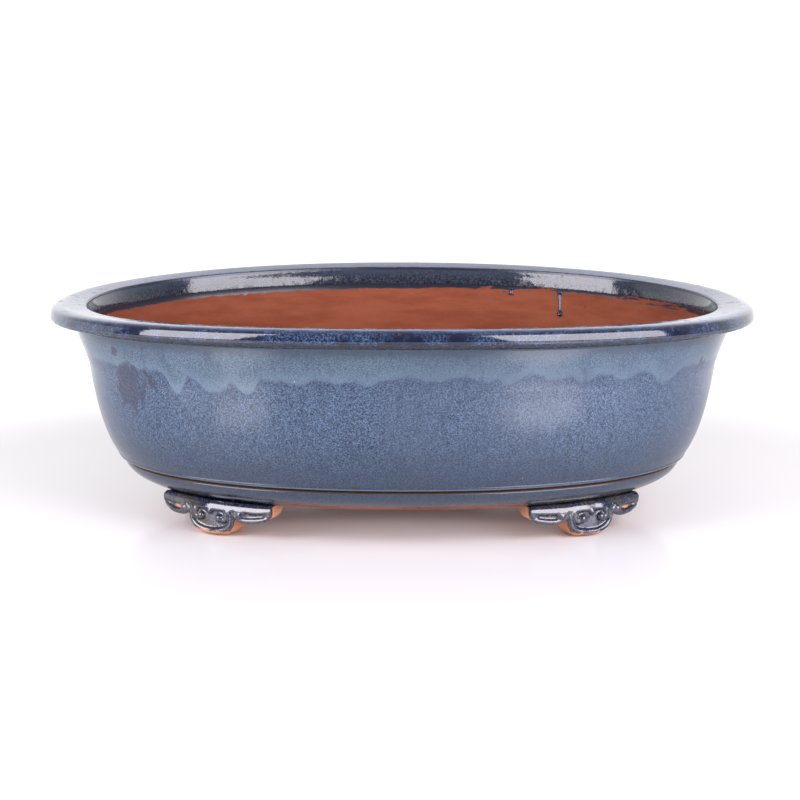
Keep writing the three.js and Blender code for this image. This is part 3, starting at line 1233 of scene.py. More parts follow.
@dataclass
class RimLip:
    """The broad lip laid on the wall's top edge.

    Attributes:
        oval: The plan.
        width: Top face, edge to edge.
        face: Height of the outer face.
        dish: How much lower its inner edge lies than the crest.
        crest: Inset of the crest.
        overhang: How far it stands past the wall.
        root_drop: How far the underside slopes down to the wall.
        wall: Thickness of the wall under it.
    """

    oval: Oval
    width: float = 26.5
    face: float = 9.5
    dish: float = 1.7
    crest: float = 9.5
    overhang: float = 18.0
    root_drop: float = 5.0
    wall: float = 11.0

    def build(self) -> bpy.types.Object:
        """Sweeps the lip, with a soft outer nose, a dished top and a crisper inner edge."""
        top = self.oval.top
        under = top - self.face
        root = under - self.root_drop
        inner_top = top - self.dish
        inner_low, inner_high = (self.width, inner_top - 1.3), (self.width - 1.3, inner_top + 0.1)
        crest, brow = (self.crest, top), (1.15, top - 2.6)
        nose, chin = (0.0, top - 6.9), (2.0, under - 0.4)
        low_inner = self.overhang + self.wall + 1.0
        section = [
            *bend(inner_low, (self.width, inner_top), inner_high, steps=7),
            *bend(inner_high, (14.0, top - 0.3), crest, steps=12),
            *bend(crest, (5.0, top - 0.05), (2.1, top - 1.0), brow, steps=16),
            *bend(brow, (0.1, top - 5.2), nose, steps=8),
            *bend(nose, (-0.05, under + 0.2), chin, steps=10),
            *line(chin, (self.overhang, root), 12),
            *line((self.overhang, root), (low_inner, root), 5),
            *bend((low_inner, root), (low_inner - 0.1, root + 4.2), (low_inner - 2.3, root + 8.0),
                  inner_low, steps=14),
        ]
        ring = Ring(self.oval, "rim_lip_glazed", section, lump=0.35, seed=3.1)
        piece = ring.build()
        height, inset = ring.heights, ring.insets
        outer_edge = 0.4 * hump(height - top + 1.6, 1.2) * (inset < 3.0)
        inner_edge = 0.5 * hump(np.hypot(inset - self.width, height - inner_top), 1.3)
        top_face = fade(inset - 2.0, 3.0) * fade(height - inner_top + 0.5, 0.4) * (inset < self.width)
        keep_values(
            piece,
            WORN_EDGE=np.maximum(outer_edge, inner_edge),
            THIN=fade(under + 0.9 - height, 1.0) * (inset < self.overhang),
            INSIDE=(inset > self.width - 0.4) & (height < inner_top - 0.3),
            TOP_FACE=top_face,
            # Painted shadow line just under the inner edge.
            SEAM=hump(np.hypot(inset - self.width, height - inner_top + 1.4), 0.75),
        )
        return piece

    def dress(self, piece: bpy.types.Object, finishes: Finishes) -> None:
        """Glazes the lip."""
        piece.data.materials.append(finishes.lip)
        settle(piece, Slot.LIP, "rim_lip")


@dataclass
class Wall:
    """The bell-shaped wall from the lip down to the groove.

    Attributes:
        oval: The plan.
        overhang: Inset of its top, under the lip.
        groove_inset: Inset of its foot, at the groove.
        thickness: The wall's thickness.
        fringe: Usual height of the lower edge of the pale runs.
        glaze_line: Height where the inner glaze ends.
        front_runs: Place, height of the tip and half width of each run on the front.
        seed: Scatters the runs on the other sides.
    """

    oval: Oval
    overhang: float = 18.0
    groove_inset: float = 51.0
    thickness: float = 11.0
    fringe: float = 122.5
    glaze_line: float = 139.6
    front_runs: tuple[tuple[float, float, float], ...] = (
        (-150.0, 107.0, 6.5), (-124.0, 109.5, 11.0), (-101.5, 110.0, 7.5), (-67.5, 117.5, 7.0),
        (-40.0, 119.0, 9.0), (-21.5, 117.5, 6.5), (22.5, 120.5, 11.0), (55.0, 120.0, 9.0),
        (70.5, 118.5, 8.0), (101.5, 120.5, 9.0), (120.5, 118.0, 7.5), (134.0, 122.0, 5.0),
        (147.0, 118.0, 7.5), (178.0, 112.5, 9.0),
    )
    seed: int = 11

    def profile(self, shift: float, steps: int) -> list[Pair]:
        """The outer profile moved inwards, from the lip down to the groove.

        Args:
            shift: How far inwards.
            steps: Points of its lower part.

        Returns:
            Points of (inset, height).
        """
        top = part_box("wall")[1].z / MM
        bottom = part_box("wall")[0].z / MM
        draw = self.groove_inset - self.overhang

        def at(inwards: float, up: float) -> Pair:
            """A point by its share of the wall's draw and height."""
            return self.overhang + shift + draw * inwards, bottom + (top - bottom) * up

        neck = at(0.29, 0.71)
        flare = bend(at(0.0, 1.0), at(0.04, 0.93), at(0.23, 0.8), neck, steps=steps // 3)
        return flare + bend(neck, at(0.39, 0.45), at(0.6, 0.13), at(1.0, 0.0), steps=steps) + [at(1.0, 0.0)]

    def build(self) -> bpy.types.Object:
        """Sweeps the wall with its small bead over the groove."""
        outer = self.profile(0.0, 54)
        upright = self.overhang + self.thickness + 1.0
        inner = [(max(inset, upright), up) for inset, up in self.profile(self.thickness, 28)]
        bottom = outer[-1][1]
        top = outer[0][1]
        side = [point for point in outer[1:] if point[1] > bottom + 3.4]
        low = side[-1]
        slip = bend(
            (self.overhang - 2.6, top + 0.9), (self.overhang + 0.3, top + 0.2), side[0], steps=4
        )
        bead = bend(
            (low[0] + 0.1, low[1] - 0.6), (low[0] - 0.7, low[1] - 1.0),
            (self.groove_inset - 1.6, bottom + 0.7), (self.groove_inset + 2.0, bottom + 0.35), steps=10,
        )
        section = [
            (self.overhang + 1.0, top + 0.45), *slip, *side, *bead,
            (self.groove_inset + 3.0, bottom - 0.1), *inner[::-1], (inner[0][0] + 0.05, top + 0.6),
        ]
        ring = Ring(self.oval, "wall_glazed", section, lump=0.3, seed=8.4)
        piece = ring.build()
        insets, heights = np.array(outer[::-1]).T
        inside = ring.insets > np.interp(ring.heights, heights, insets) + self.thickness * 0.55
        keep_values(
            piece,
            INSIDE=inside,
            FRINGE=self.fringe_height(ring.angles) * MM,
            GLAZE_LINE=self.inner_line(ring.angles) * MM,
            BRUSHED=inside * self.brushed(ring.angles),
        )
        return piece

    def fringe_height(self, angle: np.ndarray) -> np.ndarray:
        """Height of the lower edge of the pale runs, with its uneven scallops.

        Args:
            angle: Angle parameter of each vertex.

        Returns:
            One height for each vertex.
        """
        chance = np.random.default_rng(self.seed)
        x, y = self.oval.point(np.full_like(angle, 30.0), angle)
        edge = self.fringe + 3.0 * np.sin(x / 62.0 + 0.2) * hump(x, 190.0) + 0.7 * np.sin(x / 9.0)
        front = y < -40.0
        drop = np.zeros_like(angle)
        for place, tip, half in self.front_runs:
            near = np.exp(-np.abs((x - place) / half) ** 2.8)
            drop = np.where(front, np.maximum(drop, (edge - tip) * near), drop)
        at = 0.12
        while at < np.pi + 0.5:
            width = chance.uniform(0.02, 0.045)
            length = chance.uniform(2.5, 10.5)
            run = length * np.exp(-np.abs(turn_between(angle, at) / width) ** 2.6)
            drop = np.where(front, drop, np.maximum(drop, run))
            at += chance.uniform(0.08, 0.17)
        return edge - drop

    def brushed(self, angle: np.ndarray) -> np.ndarray:
        """How strongly the inner glaze was brushed over the bare clay, most at the rear right."""
        return hump(angle - 0.5, 0.17) + 0.35 * hump(angle - 1.12, 0.16) + 0.06

    def inner_line(self, angle: np.ndarray) -> np.ndarray:
        """Height where the glaze ends inside."""
        return self.glaze_line + 0.8 * np.sin(2 * angle + 0.5) + 0.4 * np.sin(9 * angle)

    def dress(self, piece: bpy.types.Object, finishes: Finishes) -> None:
        """Glazes the wall."""
        piece.data.materials.append(finishes.body)
        settle(piece, Slot.BODY, "wall")


@dataclass
class InnerRuns:
    """Two runs of thick glaze that ran down the bare clay at the rear.

    Attributes:
        wall: The wall that they cling to.
        runs: Each run's place along the length, its top, its length and its half width.
        sides: Points round a run.
    """

    wall: Wall
    runs: tuple[tuple[float, float, float, float], ...] = (
        (124.0, 141.5, 19.5, 1.25), (86.0, 141.5, 5.0, 1.3),
    )
    sides: int = 16

    def build(self) -> bpy.types.Object:
        """Builds both runs as one mesh of flattened tubes that end in a bead."""
        bead_turns = np.linspace(0, np.pi / 2, 9)[1:]
        shares = np.concatenate([np.linspace(0.0, 0.86, 22), 1.0 - 0.14 * np.cos(bead_turns)])
        points, faces = [], []
        for place, top, length, half in self.runs:
            faces += tube_faces(len(shares), self.sides, len(points))
            for share in shares:
                points += self.ring(place, top - length * share, half * self.swell(share))
        mesh = new_mesh("inner_glaze_runs", np.array(points), faces)
        turned_out(mesh)
        return in_scene("inner_glaze_runs", mesh)

    def swell(self, share: float) -> float:
        """A run's width by the share of its length, 1 in the middle, with a bead at its end.

        Args:
            share: Share of its length.

        Returns:
            Its width.
        """
        wide = 1.0 + 0.85 * hump(share - 0.88, 0.09) + 1.2 * math.exp(-share * 9.0)
        end = math.sqrt(max(0.0, 1.0 - max(0.0, (share - 0.88) / 0.12) ** 2))
        return wide * max(end, 0.03)

    def ring(self, place: float, height: float, radius: float) -> list[Spot]:
        """One ring of points round a run, half sunk in the clay.

        Args:
            place: Where the run is along the pot's length.
            height: Height of the ring before the sag.
            radius: Half its width.

        Returns:
            The points.
        """
        oval = self.wall.oval
        insets, heights = np.array(self.wall.profile(self.wall.thickness, 40)[::-1]).T
        angles = np.linspace(0.02, np.pi / 2, 4000)
        x, y = oval.point(np.full_like(angles, np.interp(height, heights, insets)), angles)
        nearest = np.argmin(np.abs(x - place))
        across = np.array([x[nearest - 1] - x[nearest + 1], y[nearest - 1] - y[nearest + 1]])
        across /= np.linalg.norm(across)
        inwards = np.array([across[1], -across[0]]) * np.sign(-y[nearest] * -across[0])
        up = float(oval.sagged(x[nearest], np.array(height)))
        points = []
        for turn in 2 * np.pi * np.arange(self.sides) / self.sides:
            flat = np.array([x[nearest], y[nearest]]) + across * radius * math.cos(turn)
            flat = flat + inwards * radius * 0.75 * math.sin(turn)
            points.append((flat[0], flat[1], up))
        return points

    def dress(self, piece: bpy.types.Object, finishes: Finishes) -> None:
        """Glazes the runs."""
        piece.data.materials.append(finishes.lip)
        settle(piece, Slot.LIP)


@dataclass
class BaseBand:
    """The band under the groove, with its bare bottom edge.

    Attributes:
        oval: The plan.
        foot_angle: Where the right front foot's middle is, as an angle.
        top_inset: Inset of its upper edge.
        bottom_inset: Inset of its lower edge.
        seat: Width of its flat underside.
        foot_reach: Half a foot's length, as an angle.
        bare: Height of its unglazed bottom edge.
    """

    oval: Oval
    foot_angle: float
    top_inset: float = 52.0
    bottom_inset: float = 69.0
    seat: float = 7.0
    foot_reach: float = 0.3
    bare: float = 3.2

    def build(self) -> bpy.types.Object:
        """Sweeps the band and marks where glaze pooled or ran thin over the feet."""
        bottom, top = (corner.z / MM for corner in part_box("base_band"))
        shoulder = top - 0.8
        inner = self.bottom_inset + self.seat
        back, brow = (self.top_inset + 3.0, top + 0.1), (self.top_inset + 0.1, shoulder - 0.9)
        swell = (self.top_inset + 3.4, bottom + 0.4 * (shoulder - bottom))
        heel, seat = (self.bottom_inset - 0.5, bottom + 0.6), (self.bottom_inset + 1.0, bottom)
        section = [
            *line((inner, top + 0.1), back, 4),
            *bend(back, (self.top_inset + 1.6, shoulder + 0.7), (self.top_inset + 0.2, shoulder + 0.4),
                  brow, steps=10),
            *bend(brow, swell, heel, steps=20),
            *bend(heel, (self.bottom_inset, bottom), seat, steps=4),
            *line(seat, (inner, bottom), 3),
            *line((inner, bottom), (inner, top + 0.1), 6),
        ]
        ring = Ring(self.oval, "base_band_glazed", section, lump=0.3, seed=8.4)
        piece = ring.build()
        angle, height = ring.angles, ring.heights
        along = np.abs([turn_between(angle, middle) for middle in self.foot_angles()])
        over_foot = 1.0 - fade(along.min(0) - self.foot_reach, 0.03)
        low = fade(bottom + 7.0 + 1.2 * np.sin(31 * angle) - height, 1.2)
        haze = 0.8 * fade(bottom + 9.0 - height, 7.0)
        keep_values(
            piece,
            FRINGE=np.ones_like(angle),
            POOL=low * (1.0 - fade(along[0] - self.foot_reach * 0.75, 0.03)),
            THIN=haze * (1.0 - fade(along[1:].min(0) - self.foot_reach, 0.08)),
            BARE_LINE=(bottom + self.bare) * (1.0 - over_foot) * MM,
        )
        return piece

    def foot_angles(self) -> list[float]:
        """Angles of the four feet, the front left one first."""
        near = abs(self.foot_angle)
        return [near - math.pi, -near, near, math.pi - near]

    def dress(self, piece: bpy.types.Object, finishes: Finishes) -> None:
        """Glazes the band."""
        piece.data.materials.append(finishes.body)
        settle(piece, Slot.BODY, "base_band")


@dataclass
class SeamCoil:
    """The coil that fills the inside corner between wall and floor.

    Attributes:
        oval: The plan.
        wall: The wall that it lies against.
        reach: How far it reaches over the floor.
        cover: Its thickness over the corner.
    """

    oval: Oval
    wall: Wall
    reach: float = 17.0
    cover: float = 3.0

    def build(self) -> bpy.types.Object:
        """Sweeps the coil with its thumbed, uneven fillet."""
        low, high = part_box("inside_seam_coil")
        toe_inset = self.oval.half_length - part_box("floor_slab")[1].x / MM + self.reach
        tip = (self.oval.half_length - high.x / MM + 0.1, high.z / MM)
        toe = (toe_inset, low.z / MM - 0.2)
        knee = (toe_inset - self.reach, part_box("wall")[0].z / MM + self.cover)
        corner = (tip[0] + 0.22 * (knee[0] - tip[0]), knee[1] + 0.22 * (tip[1] - knee[1]))
        inner = [p for p in self.wall.profile(self.wall.thickness - 0.3, 40) if p[1] < tip[1]]
        floor_edge = (knee[0], knee[1] - self.cover)
        section = [
            tip, *inner, floor_edge, (floor_edge[0], toe[1]), *line((floor_edge[0], toe[1]), toe, 6)[1:],
            *bend(toe, (toe[0] - 5.0, toe[1] + 2.6), knee, steps=8), *bend(knee, corner, tip, steps=12),
        ]
        return Ring(self.oval, "inside_seam_coil_clay", section, steps=480, lump=0.7, seed=5.5).build()

    def dress(self, piece: bpy.types.Object, finishes: Finishes) -> None:
        """Leaves the coil bare."""
        piece.data.materials.append(finishes.clay)
        settle(piece, Slot.CLAY, "inside_seam_coil")


@dataclass
class FloorSlab:
    """The floor with its drain holes and wire holes.

    Attributes:
        oval: The plan.
        drain: Diameter of a drain hole.
        wire: Diameter of a wire hole.
        edge: Radius of the softened edges.
    """

    oval: Oval
    drain: float = 40.0
    wire: float = 8.0
    edge: float = 1.2

    def holes(self) -> list[Spot]:
        """Each hole's middle and diameter, from the record's openings."""
        result = []
        for opening in frame["record"]["physics"]["openings"]:
            if "hole" in opening["name"]:
                low, high = (np.array(corner) / MM for corner in opening["box_m"])
                middle = (low + high) / 2
                result.append((middle[0], middle[1], self.drain if "drain" in opening["name"] else self.wire))
        return result

    def outlines(self, inset: float) -> list[np.ndarray]:
        """The slab's outline and each hole's, moved in by the soft edge.

        Args:
            inset: Inset of the slab.

        Returns:
            Points of (x, y) for each.
        """
        x, y = self.oval.point(np.full(360, inset + self.edge), self.oval.even_angles(360, inset))
        result = [np.stack([x, y], 1)]
        turns = np.linspace(0, 2 * np.pi, 73)[:-1]
        for x, y, diameter in self.holes():
            reach = diameter / 2 + self.edge
            result.append(np.stack([x + reach * np.cos(turns), y + reach * np.sin(turns)], 1))
        return result

    def build(self) -> bpy.types.Object:
        """Fills the outline between the holes, with softened edges."""
        low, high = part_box("floor_slab")
        curve = bpy.data.curves.new("floor_slab_outline", "CURVE")
        curve.dimensions = "2D"
        curve.fill_mode = "BOTH"
        curve.bevel_depth = self.edge * MM
        curve.bevel_resolution = 3
        curve.extrude = (high.z - low.z) / 2 - self.edge * MM
        for outline in self.outlines(self.oval.half_length - high.x / MM):
            spline = curve.splines.new("POLY")
            spline.points.add(len(outline) - 1)
            flat = np.zeros((len(outline), 4))
            flat[:, :2] = outline * MM
            flat[:, 3] = 1.0
            spline.points.foreach_set("co", flat.ravel())
            spline.use_cyclic_u = True
        mesh = mesh_of(in_scene("floor_slab_outline", curve))
        mesh.transform(Matrix.Translation((0.0, 0.0, (low.z + high.z) / 2)))
        turned_out(mesh, weld=0.01)
        mesh.name = "floor_slab_clay"
        shade_smooth(mesh)
        mesh.set_sharp_from_angle(angle=math.radians(40))
        return in_scene("floor_slab_clay", mesh)

    def dress(self, piece: bpy.types.Object, finishes: Finishes) -> None:
        """Leaves the floor bare."""
        piece.data.materials.append(finishes.clay)
        settle(piece, Slot.CLAY, "floor_slab")


# ------------------------------------------------------------------ feet


@dataclass
class CloudFoot:
    """A press-moulded foot of three cloud lobes outlined by a scrolled roll.

    Attributes:
        oval: The plan that the feet follow.
        top: Height of its top.
        half_length: Half its length along the oval.
        depth: Face to back.
        face_inset: Inset of its face.
        pad: Half length of its flat pad.
        centre_half: Half length of the centre lobe.
        side_low: Distance from the middle to a side lobe's lowest point.
        nook: Height of the nook between two lobes.
        side_height: Height of a side lobe's lowest point.
        roll: Radius of the scrolled roll.
        recess: How far the ground between the rolls lies behind the face.
        undercut: Depth at which the lower edge is lowest.
        voxel: Size of the step that joins the clay.
        sides: Points round a roll.
        beads: Place along, height and radius of the small beads, on both sides of the middle.
    """

    oval: Oval
    top: float = 24.9
    half_length: float = 49.0
    depth: float = 24.0
    face_inset: float = 64.0
    pad: float = 8.0
    centre_half: float = 19.0
    side_low: float = 29.0
    nook: float = 13.5
    side_height: float = 11.0
    roll: float = 2.1
    recess: float = 2.3
    undercut: float = 6.0
    voxel: float = 0.6
    sides: int = 12
    beads: tuple[Spot, ...] = ((8.0, 13.2, 3.0), (24.6, 16.4, 2.5), (0.0, 17.6, 2.2))

    def lower_edge(self, along: np.ndarray) -> np.ndarray:
        """Height of the three-lobed lower edge.

        Args:
            along: Distance from the foot's middle.

        Returns:
            The height.
        """
        d = np.abs(along)

        def quarter_arc(start: float, end: float) -> np.ndarray:
            """Rises from 0 at start to 1 at end like a quarter of a circle.

            Args:
                start: Distance where it starts.
                end: Distance where it ends.

            Returns:
                The rise.
            """
            t = np.clip((d - start) / (end - start), 0.0, 1.0)
            return 1.0 - np.sqrt(1.0 - t * t)

        centre = self.nook * quarter_arc(self.pad, self.centre_half)
        back = np.clip((self.side_low - d) / (self.side_low - self.centre_half), 0.0, 1.0)
        valley = self.side_height + (self.nook - self.side_height) * back**2
        side = valley + (self.top - 6.5 - self.side_height) * quarter_arc(self.side_low, self.half_length)
        return np.where(d < self.centre_half, centre, side)

    def ground(self) -> tuple[np.ndarray, Faces]:
        """The foot's body behind the scrolls, as points of (along, depth, height) and faces."""
        columns = np.linspace(-self.half_length, self.half_length, 107)
        points = []
        for along in columns:
            low = float(self.lower_edge(np.array(along)))
            tall = self.top - low
            ledge = min(5.6, tall * 0.42)
            recess = self.recess * min(1.0, max(0.12, (47.5 - abs(along)) / 6.0))
            section = [
                (3.2, self.top), (1.2, self.top - 0.45 * ledge), (0.1, self.top - ledge),
                (min(0.9, recess), self.top - 1.15 * ledge), (recess, self.top - 1.3 * ledge),
                (recess, low + 0.2 * tall + 0.6), (recess + 0.9, low + 1.0), (self.undercut, low),
                (self.depth - 3.0, low), (self.depth, low + 0.3 * tall), (self.depth, self.top),
            ]
            points += [(along, behind, up) for behind, up in section]
        return np.array(points), tube_faces(len(columns), len(points) // len(columns))

    def scrolls(self) -> list[tuple[list[Pair], float, float]]:
        """Each roll's path of (along, height), its radius and the radius at its end."""
        centre = [
            (-8.2, 13.0), (-11.2, 11.6), (-13.8, 13.8), (-13.2, 17.2), (-16.2, 17.8), (-17.6, 14.4),
            (-16.6, 9.4), (-12.6, 5.6), (-6.0, 3.6), (0.0, 3.2),
        ]
        centre += [(-along, height) for along, height in centre[-2::-1]]
        lifts = {47.6: 0.6, 45.5: 1.4, 42.0: 1.8, 38.0: 1.9, 33.0: 2.0, 28.0: 2.1, 24.0: 2.3}
        side = [(along, float(self.lower_edge(np.array(along))) + lift) for along, lift in lifts.items()]
        side += [(20.8, 16.2), (22.0, 18.8), (24.8, 19.0), (26.6, 17.0), (25.2, 15.2)]
        mirrored = [(-along, height) for along, height in side]
        return [(centre, 1.0, 1.0), (side, 0.55, 1.0), (mirrored, 0.55, 1.0)]

    def roll_mesh(self, path: Sequence[Pair], start: float, end: float) -> tuple[np.ndarray, Faces]:
        """A round roll along a smooth curve through the path.

        Args:
            path: Points of (along, height).
            start: Share of the roll's radius at its first point.
            end: The same at its last point.

        Returns:
            Points of (along, depth, height) and faces.
        """
        through = np.array([path[0], *path, path[-1]], float)
        curve = []
        for a, b, c, d in zip(through, through[1:], through[2:], through[3:]):
            for t in np.linspace(0, 1, 8, endpoint=False):
                curve.append(0.5 * (2 * b + (c - a) * t + (2 * a - 5 * b + 4 * c - d) * t**2
                                    + (3 * b - a - 3 * c + d) * t**3))
        curve = np.array([*curve, path[-1]])
        heading = np.gradient(curve, axis=0)
        heading /= np.linalg.norm(heading, axis=1, keepdims=True) + 1e-9
        points = []
        for number, (here, ahead) in enumerate(zip(curve, heading)):
            share = number / (len(curve) - 1)
            radius = self.roll * np.interp(share, [0.0, 0.25, 0.75, 1.0], [start, 1.0, 1.0, end])
            for turn in 2 * np.pi * np.arange(self.sides) / self.sides:
                out = radius * math.cos(turn)
                points.append((here[0] - ahead[1] * out, self.recess - 0.4 - radius * math.sin(turn),
                               here[1] + ahead[0] * out))
        return np.array(points), tube_faces(len(curve), self.sides)

    def flat_clay(self) -> bpy.types.Mesh:
        """Joins body, rolls and beads into one softened mesh of (along, depth, height)."""
        shape = bmesh.new()
        for points, faces in [self.ground(), *(self.roll_mesh(*roll) for roll in self.scrolls())]:
            own = [shape.verts.new(p) for p in points]
            made = [shape.faces.new([own[i] for i in face]) for face in faces]
            bmesh.ops.recalc_face_normals(shape, faces=made)
        for along, height, radius in self.beads:
            for side in (-1.0, 1.0) if along else (1.0,):
                place = Matrix.Translation((along * side, self.recess - 0.9, height))
                bmesh.ops.create_icosphere(shape, subdivisions=3, radius=radius, matrix=place)
        mesh = bpy.data.meshes.new("cloud_foot")
        shape.to_mesh(mesh)
        shape.free()
        lump = in_scene("cloud_foot", mesh)
        remesh = lump.modifiers.new("join", "REMESH")
        remesh.mode = "VOXEL"
        remesh.voxel_size = self.voxel
        soften = lump.modifiers.new("soften", "SMOOTH")
        soften.factor = 0.5
        soften.iterations = 3
        bpy.context.view_layer.update()
        return mesh_of(lump)

    def along_oval(self, middle: float) -> FeetCall:
        """Maps (along, depth) to the plan of the right front foot.

        Args:
            middle: Angle of the foot's middle.

        Returns:
            A function from arrays of along and depth to arrays of x and y.
        """
        angles = np.linspace(-np.pi / 2 + 1e-4, np.pi / 2 - 1e-4, 4001)
        x, y = self.oval.point(np.full_like(angles, self.face_inset), angles)
        length = arc_length(x, y)
        start = np.interp(middle, angles, length)
        tangent = np.stack([np.gradient(x), np.gradient(y)])
        tangent /= np.linalg.norm(tangent, axis=0)

        def placed(along: np.ndarray, depth: np.ndarray) -> tuple[np.ndarray, np.ndarray]:
            """The plan of each point.

            Args:
                along: Distance from the foot's middle.
                depth: Distance behind the face.

            Returns:
                Its x and y.
            """
            at = start + along
            across, forward = (np.interp(at, length, part) for part in tangent)
            return np.interp(at, length, x) - forward * depth, np.interp(at, length, y) + across * depth

        return placed

    def middle_angle(self) -> float:
        """Angle of the right front foot's middle, from the record's pad."""
        pad = next(m for m in frame["record"]["mounts"] if m["name"] == "front_right_pad")
        target = np.array(pad["pos_m"][:2]) / MM
        angles = np.linspace(-np.pi / 2, 0.0, 4001)
        x, y = self.oval.point(np.full_like(angles, self.face_inset + 13.5), angles)
        return float(angles[np.argmin(np.hypot(x - target[0], y - target[1]))])

    def build(
        self, name: str, flat: bpy.types.Mesh, sign_x: float, sign_y: float, seed: float
    ) -> bpy.types.Object:
        """Wraps a copy of the flat clay round one corner of the pot.

        Args:
            name: The piece's name.
            flat: The joined clay.
            sign_x: 1 on the right, -1 on the left.
            sign_y: 1 at the front, -1 at the rear.
            seed: Makes this foot's pressing its own.

        Returns:
            The foot.
        """
        mesh = flat.copy()
        count = len(mesh.vertices)
        local = np.empty(count * 3)
        mesh.vertices.foreach_get("co", local)
        local = local.reshape(-1, 3)
        local[:, 1] += unevenness(local, 9.0, 0.35, seed) * (local[:, 2] < self.top - 0.6)
        lifted = local[:, 2] + unevenness(local, 14.0, 0.4, seed + 7.0) * (local[:, 2] > 1.0)
        height = np.clip(lifted, 0.0, self.top + 0.25)
        x, y = self.along_oval(self.middle_angle())(local[:, 0], local[:, 1])
        placed = np.stack([x * sign_x, y * sign_y, height], 1) * MM
        mesh.vertices.foreach_set("co", placed.ravel())
        if sign_x * sign_y < 0:
            mesh.flip_normals()
        mesh.name = name
        shade_smooth(mesh)
        turned_out(mesh)
        piece = in_scene(name, mesh)
        along, depth, up = local.T
        recessed = fade(depth - self.recess + 0.7, 0.6) * (depth < self.recess + 0.8)
        window = hump(np.abs(along) - 33.0, 6.0) * (up < 19.5)
        keep_values(piece, HEIGHT=height * MM, BEHIND=depth * MM, WINDOW=recessed * window)
        return piece

    def dress(self, piece: bpy.types.Object, finishes: Finishes, node: str) -> None:
        """Glazes a foot."""
        piece.data.materials.append(finishes.foot)
        settle(piece, Slot.FOOT, node)


# ------------------------------------------------------------------ studio


class LampShape(Enum):
    """Outlines of a lamp, with the share of its rectangle that each fills."""

    RECTANGLE = 1.0
    ELLIPSE = math.pi / 4


